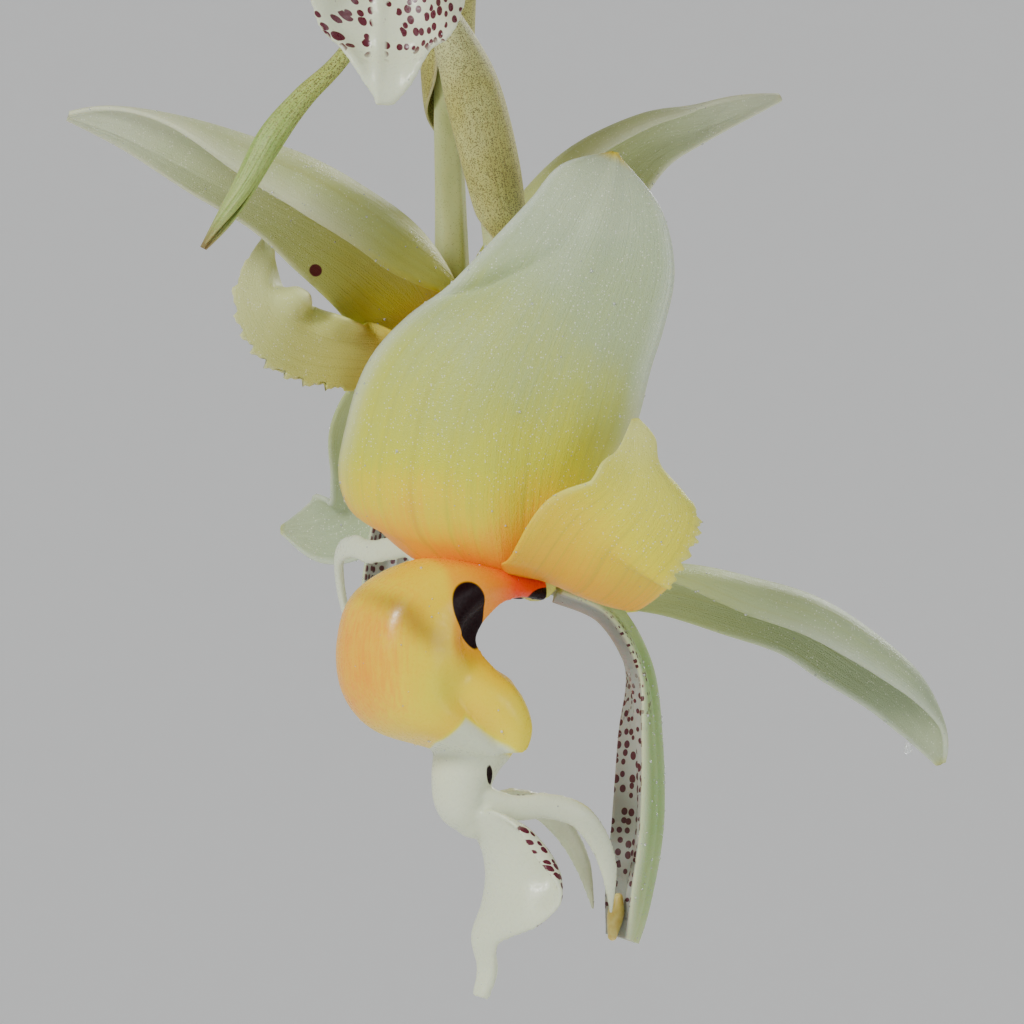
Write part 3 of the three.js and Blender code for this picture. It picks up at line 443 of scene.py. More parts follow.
clay, nodes = finish("fired_clay", Roughness=0.88)
here = nodes.where()
mottled = nodes.noise(here, 45.0, 6.0, 0.6)
thrown = nodes.noise(nodes.stretched(here, 3.0, 3.0, 420.0), 1.0, 3.0)
pores = nodes.noise(here, 1400.0, 3.0)
fired = nodes.ramp(mottled, (0.25, "9c4f2c"), (0.5, "b8653c"), (0.75, "c97e55"))
height = nodes.add("SeparateXYZ", Vector=here).outputs[2]
lime = nodes.noise(nodes.stretched(here, 1.0, 1.0, 0.55), 70.0, 8.0, 0.68)
high_up = nodes.between(height, (POT_RIM_Z - 45) * MM, (POT_RIM_Z - 2) * MM, 0.0, 0.09)
lime = nodes.between(nodes.sum("ADD", lime, high_up), 0.54, 0.74)
fired = nodes.mix(nodes.product(lime, 0.6), fired, tint("ddd3c3"))
green = nodes.noise(here, 28.0, 7.0, 0.62)
low_down = nodes.between(height, (POT_BASE_Z + 62) * MM, POT_BASE_Z * MM, 0.0, 0.16)
green = nodes.between(nodes.sum("ADD", green, low_down), 0.56, 0.76, 0.0, 0.55)
nodes.coat(Base_Color=nodes.mix(green, fired, tint("5f6b3a")))
rings = nodes.bump(thrown, 0.0006)
nodes.coat(Normal=nodes.bump(pores, 0.0002, rings))

points, faces, uvs = lathe(split(eased(pot_outline, 1.6), 3.5), 192)
pot = shown("pot_thrown", (points, faces, uvs), clay, ["pot"], "clay")
clean(pot.data)
slot = prism(stadium, POT_BASE_RADIUS - 12, POT_RIM_RADIUS + 6)
hole = rod(WIRE_END, [(WIRE_RADIUS + 0.5, WIRE_RADIUS + 0.5)], 12, 24, [(0, 1, 0)])[:2]
cutters = [cutter(*slot, 360 * (k + 0.5) / SLOTS) for k in range(SLOTS)]
cutters += [cutter(*hole, turn) for turn in WIRE_TURNS]
for tool in cutters:
    cut = pot.modifiers.new("slot", "BOOLEAN")
    cut.solver = "EXACT"
    cut.object = tool
mesh = worked_out(pot)
pot.modifiers.clear()
pot.data = mesh
for tool in cutters:
    bpy.data.objects.remove(tool)

# The potting mix: broken fir bark, packed into the pot round the roots and heaped loosely on top, where it
# is dry and dusty between patches of moss.
MIX_TOP_Z = POT_RIM_Z - 14
MIX_RADIUS = POT_RIM_RADIUS - POT_WALL - 6
MIX_SLOPE = [
    (0, POT_BASE_Z + 6.6), (POT_BASE_RADIUS - POT_WALL + 0.2, POT_BASE_Z + 6.6),
    (MIX_RADIUS, MIX_TOP_Z - 1), (44, MIX_TOP_Z + 2), (20, MIX_TOP_Z + 3.4), (0, MIX_TOP_Z + 4),
]


def growth(name, **sizes):
    """A tree of geometry nodes with a named input for each size, the calls that add to it, and its ends."""
    tree = bpy.data.node_groups.new(name, "GeometryNodeTree")
    tree.interface.new_socket("Geometry", in_out="INPUT", socket_type="NodeSocketGeometry")
    for key, value in sizes.items():
        kind = "NodeSocketInt" if isinstance(value, int) else "NodeSocketFloat"
        socket = tree.interface.new_socket(key.replace("_", " "), in_out="INPUT", socket_type=kind)
        socket.default_value = value
    tree.interface.new_socket("Material", in_out="INPUT", socket_type="NodeSocketMaterial")
    tree.interface.new_socket("Geometry", in_out="OUTPUT", socket_type="NodeSocketGeometry")
    return tree, Shading(tree), tree.nodes.new("NodeGroupInput"), tree.nodes.new("NodeGroupOutput")


def grown(source, tree, **values):
    """The plain mesh that a tree of geometry nodes makes of a mesh."""
    work = linked("growing", source)
    modifier = work.modifiers.new("growth", "NODES")
    modifier.node_group = tree
    for item in tree.interface.items_tree:
        key = item.name.replace(" ", "_")
        if item.in_out == "INPUT" and key in values:
            modifier[item.identifier] = values[key]
    mesh = worked_out(work)
    bpy.data.objects.remove(work)
    return mesh


chip_tree, grow, given, made = growth("bark_chips", Spacing=0.006, Length=0.011, Seed=3)
spread = grow.add(
    "GeometryNodeDistributePointsOnFaces",
    {"distribute_method": "POISSON"},
    Mesh=given.outputs["Geometry"],
    Distance_Min=given.outputs["Spacing"],
    Density_Max=26000.0,
    Density_Factor=grow.add("GeometryNodeInputNamedAttribute", Name="loose").outputs["Attribute"],
    Seed=given.outputs["Seed"],
)
block = grow.add("GeometryNodeMeshCube", Size=(1, 0.62, 0.34), Vertices_X=4, Vertices_Y=3, Vertices_Z=3)
scattered = grow.add("GeometryNodeInstanceOnPoints", Points=spread.outputs[0], Instance=block.outputs[0])
lying = grow.add("FunctionNodeRandomValue", {"data_type": "FLOAT_VECTOR"}, Seed=1)
lying.inputs[0].default_value = (-0.5, -0.45, 0)
lying.inputs[1].default_value = (0.5, 0.45, 6.28)
grow.give(scattered.inputs["Rotation"], lying.outputs[0])
share = grow.add("FunctionNodeRandomValue", {"data_type": "FLOAT_VECTOR"}, Seed=2)
share.inputs[0].default_value = (0.45, 0.5, 0.5)
share.inputs[1].default_value = (1.25, 1.15, 1.3)
size = grow.add("ShaderNodeVectorMath", {"operation": "SCALE"})
grow.give(size.inputs[0], share.outputs[0])
grow.give(size.inputs["Scale"], given.outputs["Length"])
grow.give(scattered.inputs["Scale"], size.outputs[0])
real = grow.add("GeometryNodeRealizeInstances", Geometry=scattered.outputs[0])
rough = grow.add("TexNoise", Scale=340.0, Detail=2.0)
centred = grow.add("ShaderNodeVectorMath", {"operation": "SUBTRACT"})
grow.give(centred.inputs[0], rough.outputs["Color"])
centred.inputs[1].default_value = (0.5, 0.5, 0.5)
nudge = grow.add("ShaderNodeVectorMath", {"operation": "SCALE"}, Scale=0.0055)
grow.give(nudge.inputs[0], centred.outputs[0])
chipped = grow.add("GeometryNodeSetPosition", Geometry=real.outputs[0], Offset=nudge.outputs[0])
coated = grow.add("GeometryNodeSetMaterial", Geometry=chipped.outputs[0], Material=given.outputs["Material"])
grow.give(made.inputs[0], coated.outputs[0])

bark, nodes = finish("fir_bark", Roughness=0.95)
here = nodes.where()
grain = nodes.noise(nodes.stretched(here, 1.0, 1.0, 3.4), 420.0, 7.0, 0.62)
chunk = nodes.noise(here, 120.0, 2.0)
brown = nodes.ramp(grain, (0.22, "1d120b"), (0.45, "4d3220"), (0.62, "76523a"), (0.85, "a98a6c"))
brown = nodes.mix(nodes.between(chunk, 0.35, 0.65, 0.0, 0.55), brown, tint("5a3320"))
moss = nodes.between(nodes.noise(here, 34.0, 6.0, 0.62), 0.6, 0.72, 0.0, 0.8)
nodes.coat(Base_Color=nodes.mix(moss, brown, tint("66742f")))
nodes.coat(Normal=nodes.bump(grain, 0.0009))

points, faces, uvs = lathe(split(np.array(MIX_SLOPE, float), 2.2), 120)
bed_high = points[:, 2] > MIX_TOP_Z - 1.2
seeded = np.random.default_rng(11)
points[bed_high, 2] += seeded.uniform(-1.0, 0.4, bed_high.sum())
bed = shown("potting_mix_bed", (points, faces, uvs), bark, ["potting_mix"], "bark", loose=bed_high)
clean(bed.data)
mesh = grown(bed.data, chip_tree, Material=bark)
dressed("potting_mix_chips", mesh, bark, ["potting_mix"]).data.shade_flat()

# The rhizome: the creeping stem that joins the bulbs, ringed where old scales have fallen, with roots that
# run over the bark and down into it.
RHIZOME = [(-46, 20, -271), (-26, 12, -268), (-4, 8, -267), (18, 2, -268), (40, -10, -271)]
RHIZOME_RADII = [(3.5, 3.5), (5, 5), (5.5, 5.5), (5, 5), (3.5, 3.5)]
RHIZOME_RINGS = 26
ROOTS = [
    [(-34, 14, -268), (-42, 2, -265), (-50, -10, -267), (-54, -24, -271), (-50, -34, -277)],
    [(-6, 6, -266), (-2, -10, -263), (8, -24, -265), (12, -40, -267), (4, -54, -272)],
    [(12, 4, -266), (22, 12, -263), (36, 12, -265), (50, 6, -267), (60, -2, -274)],
    [(-20, 10, -267), (-22, 26, -263), (-12, 40, -265), (-16, 54, -270), (-24, 60, -277)],
    [(30, -6, -269), (34, 6, -264), (46, 20, -266), (44, 36, -268), (34, 50, -276)],
]
ROOT_RADII = [(1.7, 1.7), (1.6, 1.6), (1.5, 1.5), (1.5, 1.4), (1.1, 1.1)]

rhizome_skin, nodes = finish("rhizome_skin", Roughness=0.75)
here = nodes.where()
flaky = nodes.noise(here, 260.0, 6.0, 0.65)
around, along = nodes.skin()
ringed = nodes.sum("PINGPONG", nodes.product(along, RHIZOME_RINGS * 1.0), 0.5)
dry = nodes.ramp(flaky, (0.25, "3c2c1b"), (0.5, "73603c"), (0.75, "a89468"))
nodes.coat(Base_Color=nodes.mix(nodes.between(ringed, 0.0, 0.16, 0.7, 0.0), dry, tint("2c1d12")))
nodes.coat(Normal=nodes.bump(flaky, 0.0005))


def scarred(turn, s):
    """Rings round a creeping stem, closer than they are deep."""
    return 1 + 0.05 * np.abs(np.sin(math.pi * RHIZOME_RINGS * s)) + 0.02 * np.sin(3 * turn + 40 * s)


shown(
    "rhizome_ringed",
    rod(RHIZOME, RHIZOME_RADII, 40, 260, [(0, 0, 1)], scarred),
    rhizome_skin,
    ["rhizome"],
    "rhizome",
)
root_skin, nodes = finish("root_skin", Roughness=0.7)
around, along = nodes.skin()
felt = nodes.noise(nodes.where(), 700.0, 5.0, 0.6)
white = nodes.ramp(felt, (0.3, "a9a58d"), (0.55, "cfccb6"), (0.8, "e6e4d3"))
nodes.coat(Base_Color=nodes.mix(nodes.between(along, 0.9, 1.0, 0.0, 0.8), white, tint("87a05a")))
nodes.coat(Normal=nodes.bump(felt, 0.0002))
root_parts = [rod(path, ROOT_RADII, 14, 60, [(0, 0, 1)]) for path in ROOTS]
shown("creeping_roots", joined(*root_parts), root_skin, slot="rhizome")

# The pseudobulbs: stout ridged storage stems, each grown from the rhizome in its own year. The dead sheaths
# that covered it stay as papery fibres round its lower half.
BULB_RIDGES = 7
BULB_SHARES = [0.42, 0.86, 1, 0.93, 0.7, 0.42, 0.24]
BULBS = [
    dict(at=(-40, 22, -277), top=(-9, 5, 50), wide=15.5),
    dict(at=(-16, -16, -277), top=(-3, -6, 56), wide=16),
    dict(at=(22, 26, -277), top=(5, 7, 54), wide=16),
    dict(at=(36, -20, -277), top=(8, -5, 47), wide=15),
]

bulb_skin, nodes = finish("bulb_skin", Roughness=0.42)
here = nodes.where()
around, along = nodes.skin()
blotch = nodes.noise(here, 70.0, 6.0, 0.6)
streak = nodes.noise(nodes.stretched(here, 1.0, 1.0, 0.12), 500.0, 5.0, 0.6)
green = nodes.ramp(blotch, (0.25, "3f5a26"), (0.5, "607f38"), (0.75, "8c9a4c"))
ridged = nodes.sum("PINGPONG", nodes.product(around, BULB_RIDGES * 1.0), 0.5)
green = nodes.mix(nodes.between(ridged, 0.05, 0.35, 0.4, 0.0), green, tint("a3a35a"))
old = nodes.between(nodes.sum("SUBTRACT", streak, along), 0.05, 0.42, 0.0, 0.9)
nodes.coat(Base_Color=nodes.mix(old, green, tint("7c6238")))
nodes.coat(Normal=nodes.bump(streak, 0.0004))

sheath_skin, nodes = finish("dead_sheath", Roughness=0.85)
around, along = nodes.skin()
fibre = nodes.noise(nodes.stretched(nodes.laid_flat(), 90.0, 3.0, 1.0), 1.0, 5.0, 0.6)
straw = nodes.ramp(fibre, (0.25, "6b5232"), (0.5, "a68a5c"), (0.75, "cdb88c"))
nodes.coat(Base_Color=nodes.mix(nodes.between(along, 0.0, 0.35, 0.7, 0.0), straw, tint("4b3521")))
nodes.coat(Normal=nodes.bump(fibre, 0.0006))


def fluted(turn, s):
    """The bulb's ridges, with the shallow wrinkles that a dry spell leaves between them."""
    wrinkle = 0.008 * np.sin(21 * turn + 6 * s) * np.sin(math.pi * s)
    return 1 + 0.05 * np.cos(BULB_RIDGES * turn) + wrinkle


def sheet(middle, thick):
    """A closed skin over a grid of middle points, thick at each, with the same grid on both sides."""
    rows, cols = middle.shape[0] - 1, middle.shape[1] - 1
    normal = unit(np.cross(np.gradient(middle, axis=1), np.gradient(middle, axis=0)))
    half = normal * np.asarray(thick)[..., None] / 2
    points = np.concatenate([(middle + half).reshape(-1, 3), (middle - half).reshape(-1, 3)])
    i, j = np.meshgrid(np.arange(rows), np.arange(cols), indexing="ij")
    a = (i * (cols + 1) + j).ravel()
    top = np.stack([a, a + 1, a + cols + 2, a + cols + 1], 1)
    under = (rows + 1) * (cols + 1)
    low = top[:, ::-1] + under
    left = np.arange(rows) * (cols + 1)
    right = left + cols
    base = np.arange(cols)
    tip = base + rows * (cols + 1)
    rims = [
        np.stack([left, left + cols + 1, under + left + cols + 1, under + left], 1),
        np.stack([right + cols + 1, right, under + right, under + right + cols + 1], 1),
        np.stack([base + 1, base, under + base, under + base + 1], 1),
        np.stack([tip, tip + 1, under + tip + 1, under + tip], 1),
    ]
    faces = np.concatenate([top, low, *rims])
    across, along = np.meshgrid(np.linspace(0, 1, cols + 1), np.linspace(0, 1, rows + 1))
    point_uvs = np.tile(np.stack([across.ravel(), along.ravel()], 1), (2, 1))
    return points, faces.tolist(), point_uvs[faces.ravel()]


for number, bulb in enumerate(BULBS, 1):
    rise = np.arange(len(BULB_SHARES))[:, None] / (len(BULB_SHARES) - 1)
    spine = np.array(bulb["at"]) + rise * np.array(bulb["top"])
    radii = np.array(BULB_SHARES)[:, None] * bulb["wide"] * np.array([[1, 0.82]])
    name = f"pseudobulb_{number}"
    shown(
        name + "_fluted",
        rod(spine, radii, 112, 90, [(1, 0.3, 0)], fluted),
        bulb_skin,
        [name],
        "bulb",
    )
    s = np.linspace(0.16, 0.56, 30)
    turn = np.linspace(-math.pi * 0.96, math.pi * 0.96, 130)
    ragged = 1 - 0.3 * np.abs(np.sin(2.5 * turn + number)) - 0.12 * np.abs(np.sin(11 * turn)) ** 3
    tear = 0.16 + (s[:, None] - 0.16) * ragged
    point, along, side, out = axes_at(spine, [(1, 0.3, 0)], tear.ravel())
    half = spline(radii, tear.ravel()) + 0.7 + 0.5 * ((tear.ravel()[:, None] - 0.16) / 0.4) ** 2
    lift = fluted(turn[None, :], 0.0 * s[:, None]).ravel()[:, None]
    wrapped = np.tile(turn, len(s))[:, None]
    around = point + out * half[:, :1] * lift * np.cos(wrapped) + side * half[:, 1:] * lift * np.sin(wrapped)
    shown(
        name + "_sheath",
        sheet(around.reshape(len(s), len(turn), 3), np.full((len(s), len(turn)), 0.35)),
        sheath_skin,
        slot="bulb",
    )

# The leaves: one on each bulb, thin and leathery on a channelled stalk. The veins stand out below and give
# the blade its pleats.
LEAF_ARCH = [(0, 0), (0.04, 0.24), (0.12, 0.5), (0.27, 0.75), (0.49, 0.93), (0.75, 1), (1, 0.93)]
LEAF_HALF_WIDTHS = [2.6, 3, 12, 29, 35, 26, 0.8]
LEAF_THICK = 1.0
LEAF_CURLS = [70, 70, 50, 30, 20, 15, 10]
LEAVES = [
    dict(rise=150, reach=150, way=158, face=0.55),
    dict(rise=165, reach=120, way=236, face=0.5),
    dict(rise=175, reach=125, way=62, face=0.5),
    dict(rise=145, reach=150, way=-22, face=0.55),
]


def flat(s, t):
    return 0 * s * t


def whole(s, t):
    return 1 + 0 * s * t


def rolled_back(width, angle, t):
    """How far out and up each point of a cross section lies, from its slope angle there."""
    half = t.shape[1] // 2
    made = []
    for slope in (np.cos(angle), np.sin(angle)):
        steps = (slope[:, 1:] + slope[:, :-1]) / 2 * np.diff(t) * width[:, 1:]
        after = np.cumsum(steps[:, half:], axis=1)
        before = np.cumsum(steps[:, :half][:, ::-1], axis=1)[:, ::-1]
        made.append(np.concatenate([before, np.zeros((len(angle), 1)), after], axis=1))
    return made


def blade(shape, rows, cols):
    """A leaf-like skin from stations of its spine, the way it faces, its half widths and how they curl."""
    s = np.linspace(0, 1, rows + 1)
    t = np.linspace(-1, 1, cols + 1)[None, :]
    point, along, side, out = axes_at(shape["spine"], shape["face"], s)
    s = s[:, None]
    on_left = t < 0

    def of(left, right):
        both = [spline(shape[key], s[:, 0])[:, None] for key in (left, right)]
        return np.where(on_left, *both)

    width = of("left", "right") * shape.get("edge", whole)(s, t)
    curl = np.radians(of("curl_left", "curl_right"))
    curl = np.where(np.abs(curl) < 1e-3, 1e-3, curl)
    angle = curl * np.abs(t)
    reach = width * np.sin(angle) / curl
    rise = width * (1 - np.cos(angle)) / curl
    if "rolled_back" in shape:
        reach, rise = rolled_back(width, angle - shape["rolled_back"](s, t), t)
    reach = reach * np.sign(t)
    rise = shape.get("squash", 1) * rise + shape.get("ripple", flat)(s, t)
    middle = point[:, None] + side[:, None] * reach[..., None] + out[:, None] * rise[..., None]
    rib = shape.get("rib", 0) * np.maximum(0, 1 - np.abs(t) / 0.45)
    thick = (shape["thick"] + rib) * (0.3 + 0.7 * np.sqrt(1 - np.abs(t) ** 6)) + 0 * s
    return sheet(middle, thick)


def even(widths, curls):
    """The stations of a blade that is alike on both sides."""
    return dict(left=widths, right=widths, curl_left=curls, curl_right=curls)


def pleated(s, t):
    """The four deep folds of a leaf, and the fine ones that its lesser veins make."""
    held = np.sin(math.pi * np.maximum(0, s * 1.2 - 0.2))
    deep = 1.1 * np.cos(4 * math.pi * t)
    fine = 0.22 * np.abs(np.sin(9 * math.pi * t))
    sway = 1.6 * np.sin(7 * s + 2 * t) * t**2
    return (deep + fine + sway) * held


leaf_skin, nodes = finish("leaf_skin", Roughness=0.4, Specular_IOR_Level=0.4)
across, along = nodes.skin()
here = nodes.where()
patchy = nodes.noise(here, 26.0, 6.0, 0.6)
veined = nodes.sum("PINGPONG", nodes.product(across, 18.0), 0.5)
lesser = nodes.noise(nodes.stretched(nodes.laid_flat(), 150.0, 5.0, 1.0), 1.0, 3.0)
green = nodes.ramp(patchy, (0.25, "2f5a22"), (0.5, "41732c"), (0.75, "5d8b3a"))
green = nodes.mix(nodes.between(veined, 0.0, 0.09, 0.55, 0.0), green, tint("86a75a"))
green = nodes.mix(nodes.between(lesser, 0.45, 0.7, 0.0, 0.3), green, tint("2c511f"))
stalk = nodes.between(along, 0.1, 0.26, 0.7, 0.0)
green = nodes.mix(stalk, green, tint("8a9a52"))
spent = nodes.sum("ADD", along, nodes.between(patchy, 0.3, 0.7, -0.03, 0.03))
green = nodes.mix(nodes.between(spent, 0.965, 1.0), green, tint("7a5a2e"))
nodes.coat(Base_Color=green)
nodes.coat(Roughness=nodes.between(patchy, 0.3, 0.7, 0.34, 0.5))
nodes.coat(Normal=nodes.bump(lesser, 0.0005))

for number, (bulb, leaf) in enumerate(zip(BULBS, LEAVES), 1):
    foot = np.array(bulb["at"]) + np.array(bulb["top"]) + (0, 0, 0.5)
    c, n = math.cos(math.radians(leaf["way"])), math.sin(math.radians(leaf["way"]))
    arched = [(c * leaf["reach"] * out, n * leaf["reach"] * out, leaf["rise"] * up) for out, up in LEAF_ARCH]
    shape = dict(
        spine=foot + np.array(arched),
        face=[(-c, -n, leaf["face"])],
        ripple=pleated,
        thick=LEAF_THICK,
        **even(LEAF_HALF_WIDTHS, LEAF_CURLS),
    )
    name = f"leaf_{number}"
    shown(name + "_pleated", blade(shape, 110, 72), leaf_skin, [name], "leaf")

# The hanging stem, with the flowers' stalks that swell into ribbed ovaries. It is smooth and pale, and dotted
# ever more finely towards the flowers.
SPRAY_CENTRE_Z = -566
SCAPE = [
    (2, -6, POT_RIM_Z - 20), (1.5, -2, -300), (0.5, 0, -330), (0, 0, -360), (-1, 0, -395),
    (-5, 1, -425), (-9, 2, -453), (-11.5, 2, -479),
]
SCAPE_RADII = [3.4, 3.4, 3.3, 3.2, 3, 2.8, 2.5, 2.1]
STALKS = {
    "low": [
        (-12, 2, 93), (-13, 2, 83.5), (-8.9, 1.5, 73.5), (-5.6, 1, 62), (-3, 1, 48),
        (-1.2, 1.6, 34), (0.6, 2.2, 18), (2, 1.4, 2), (2.8, 0.4, -6.6),
    ],
    "rear": [
        (-8.6, 4.6, 110), (-9.4, 9, 100), (-10.4, 16, 84), (-10.4, 24, 66), (-10, 30, 50),
        (-9.8, 34, 38), (-9.7, 36, 31.4),
    ],
    "high": [
        (-2.4, -3.4, 167), (-4.4, -8, 164), (-8.4, -12, 158), (-12.6, -14, 148),
        (-15.4, -14.6, 138), (-16.6, -14.2, 129),
    ],
}
STALK_RADII = [1.8, 1.85, 2, 2.2, 2.5, 2.9, 3.3]


def lowered(points):
    """Points given from the height of the spray's middle."""
    return np.array(points, float) + (0, 0, SPRAY_CENTRE_Z)


def round_radii(radii):
    return [(r, r) for r in radii]


def ribbed(turn, s):
    return 1 + 0.035 * np.cos(6 * turn + 1.2 * s) * np.clip(s * 1.6, 0, 1)


def effect_group(name, **inputs):
    """A group of shader nodes with named inputs and one value out, its calls, its inputs and its end."""
    tree = bpy.data.node_groups.new(name, "ShaderNodeTree")
    for key, value in inputs.items():
        kind = "NodeSocketVector" if isinstance(value, tuple) else "NodeSocketFloat"
        tree.interface.new_socket(key, in_out="INPUT", socket_type=kind).default_value = value
    tree.interface.new_socket("Mask", in_out="OUTPUT", socket_type="NodeSocketFloat")
    nodes = Shading(tree)
    return tree, nodes, nodes.add("NodeGroupInput").outputs, nodes.add("NodeGroupOutput").inputs[0]


# Round dots of uneven size: 1 on a dot. Scale is cells a metre, Size their radius in cells.
dots, nodes, given, mask = effect_group("uneven_dots", Scale=4200.0, Size=0.3, Kept=0.5)
here = nodes.where()
finer = nodes.product(given["Scale"], 1.4)
bent = nodes.add("TexNoise", Vector=here, Scale=finer, Detail=1.0).outputs["Color"]
pushed = nodes.add("VectorMath", {"operation": "MULTIPLY_ADD"})
nodes.give(pushed.inputs[0], bent)
nodes.give(pushed.inputs[1], nodes.sum("DIVIDE", 0.35, given["Scale"]))
nodes.give(pushed.inputs[2], here)
cell = nodes.add("TexVoronoi", Vector=pushed.outputs[0], Scale=given["Scale"])
chance = nodes.add("SeparateColor", Color=cell.outputs["Color"])
reach = nodes.product(nodes.sum("MULTIPLY_ADD", chance.outputs[1], 0.8, 0.6), given["Size"])
inside = nodes.sum("LESS_THAN", cell.outputs["Distance"], reach)
nodes.give(mask, nodes.product(inside, nodes.sum("LESS_THAN", chance.outputs[0], given["Kept"])))

# Round spots of nearly one size on a surface that is laid flat, Scale of them a unit.
spots, nodes, given, mask = effect_group("round_spots", Place=(0.0, 0.0, 0.0), Scale=0.6, Size=0.4, Kept=0.8)
cell = nodes.add("TexVoronoi", {"voronoi_dimensions": "2D"}, Vector=given["Place"], Randomness=0.75)
nodes.give(cell.inputs["Scale"], given["Scale"])
chance = nodes.add("SeparateColor", Color=cell.outputs["Color"])
reach = nodes.product(nodes.sum("MULTIPLY_ADD", chance.outputs[1], 0.5, 0.6), given["Size"])
inside = nodes.between(nodes.sum("SUBTRACT", reach, cell.outputs["Distance"]), -0.02, 0.02)
nodes.give(mask, nodes.product(inside, nodes.sum("LESS_THAN", chance.outputs[0], given["Kept"])))

stem_skin, nodes = finish("stem_skin", Roughness=0.45, Subsurface_Weight=0.15, Subsurface_Scale=0.001)
here = nodes.where()
around, along = nodes.skin()
shade = nodes.noise(nodes.stretched(here, 1.0, 1.0, 0.25), 160.0, 4.0)
green = nodes.ramp(shade, (0.3, "a9b070"), (0.55, "c0c68a"), (0.8, "d5d9a6"))
fine_dots = nodes.product(nodes.effect(dots, Scale=4200.0, Size=0.26, Kept=0.5), 0.45)
nodes.coat(Base_Color=nodes.mix(fine_dots, green, tint("4a3a22")))
nodes.coat(Normal=nodes.bump(shade, 0.0003))

stem_parts = [rod(SCAPE, round_radii(SCAPE_RADII), 40, 150, [(0, -1, 0.05)])]
for path in STALKS.values():
    stem_parts.append(rod(lowered(path), round_radii(STALK_RADII), 48, 90, [(1, 0, 0.1)], ribbed))
shown("scape_dotted", joined(*stem_parts), stem_skin, ["scape"], "stem")

# The bracts: dry-edged boats of thin tissue, rolled round the stem and each ovary, and speckled so finely
# that they look olive brown. One narrow one hangs free, round a bud that never opened.
BRACT_THICK = 0.7
BRACTS = {
    "low_bract": (
        lowered([(-9, 2, 79), (-3, 1.4, 69), (0.4, 1, 57), (1.8, 1.1, 46.5), (1.2, 1.4, 38.6)]),
        (-1, 0.05, -0.35), 12.6, 0.56,
    ),
    "rear_bract": (
        lowered(
            [(-8.8, 9.2, 106), (-9.8, 15.6, 95.5), (-10.5, 21.4, 83), (-10.5, 26, 71.5), (-10.8, 30, 62)]
        ),
        (0, -0.9, -0.4), 12.6, 0.56,
    ),
    "high_bract": (
        lowered(
            [
                (-4.2, -4.4, 168.4), (-8.2, -9.8, 166), (-11.8, -13.8, 160), (-14.4, -15.4, 153),
                (-16.6, -16.2, 145.5),
            ]
        ),
        (0.6, 0.3, -0.7), 12.6, 0.56,
    ),
    "sheath_low": (
        [(0.6, -0.2, -414), (-0.2, -0.1, -422), (-1.5, 0.3, -431), (-3.4, 0.8, -441), (-5, 1.2, -448)],
        (-1, 0.2, 0), 13, 0.9,
    ),
    "sheath_high": (
        [(4, -0.8, -364), (4.3, -0.9, -371), (4, -0.9, -380), (3, -0.8, -390), (2.3, -0.7, -397)],
        (-1, 0.2, 0), 13, 0.9,
    ),
}
NARROW_BRACT = dict(
    spine=lowered(
        [
            (-12.6, 0, 94), (-17, -1, 87), (-26.4, -4, 72), (-33.4, -6, 65), (-38.8, -7, 58.6),
            (-43, -8, 50), (-47.8, -8, 40.8),
        ]
    ),
    face=[(0.4, -0.3, -0.7)],
    thick=BRACT_THICK,
    **even([2.6, 2.6, 3, 4.4, 5.8, 4.4, 0.7], [165, 172, 174, 176, 176, 172, 90]),
)


def rolled(spine, face, widest, base):
    """The stations of a bract that is rolled into a tube, closest at its base."""
    widths = [share * widest for share in (base, 0.98, 1, 0.8, 0.15)]
    curls = [165, 168, 165, 150, 60]
    return dict(spine=spine, face=[face], thick=BRACT_THICK, **even(widths, curls))


bract_skin, nodes = finish("bract_skin", Roughness=0.6, Subsurface_Weight=0.1, Subsurface_Scale=0.0008)
here = nodes.where()
across, along = nodes.skin()
washed = nodes.noise(here, 90.0, 5.0, 0.6)
grain = nodes.noise(nodes.stretched(nodes.laid_flat(), 60.0, 4.0, 1.0), 1.0, 4.0)
olive = nodes.ramp(washed, (0.25, "a89f4c"), (0.5, "bdb966"), (0.75, "cfd08a"))
olive = nodes.mix(nodes.between(grain, 0.4, 0.7, 0.0, 0.2), olive, tint("94823f"))
olive = nodes.mix(nodes.between(along, 0.35, 0.0, 0.0, 0.6), olive, tint("dadfb0"))
brown_dots = nodes.product(nodes.effect(dots, Scale=4600.0, Size=0.4, Kept=0.95), 0.72)
olive = nodes.mix(brown_dots, olive, tint("4d3b1e"))
rim = nodes.off_middle(across)
nodes.coat(Base_Color=nodes.mix(nodes.between(rim, 0.93, 1.0, 0.0, 0.6), olive, tint("d9d3ab")))
nodes.coat(Normal=nodes.bump(grain, 0.0004))

for name, (spine, face, widest, base) in BRACTS.items():
    shown(name + "_rolled", blade(rolled(spine, face, widest, base), 70, 56), bract_skin, [name], "bract")

bud_skin, nodes = finish("bud_bract_skin", Roughness=0.45, Subsurface_Weight=0.15)
nodes.coat(Subsurface_Scale=0.001)
across, along = nodes.skin()
ridged = nodes.noise(nodes.stretched(nodes.laid_flat(), 26.0, 5.0, 1.0), 1.0, 4.0)
green = nodes.ramp(
    along, (0.0, "a8a657"), (0.45, "a9b755"), (0.7, "93b352"), (0.9, "9fb65c"), (0.985, "8a6d3a")
)
green = nodes.mix(nodes.between(ridged, 0.35, 0.7, 0.0, 0.4), green, tint("d0d68e"))
speckled = nodes.effect(dots, Scale=3400.0, Size=0.4, Kept=0.8)
fine_dots = nodes.product(speckled, nodes.between(along, 0.85, 0.35, 0.25, 0.8))
nodes.coat(Base_Color=nodes.mix(fine_dots, green, tint("5a4a20")))
nodes.coat(Normal=nodes.bump(ridged, 0.0004))
shown("narrow_bract_rolled", blade(NARROW_BRACT, 90, 40), bud_skin, ["narrow_bract"], "bract")

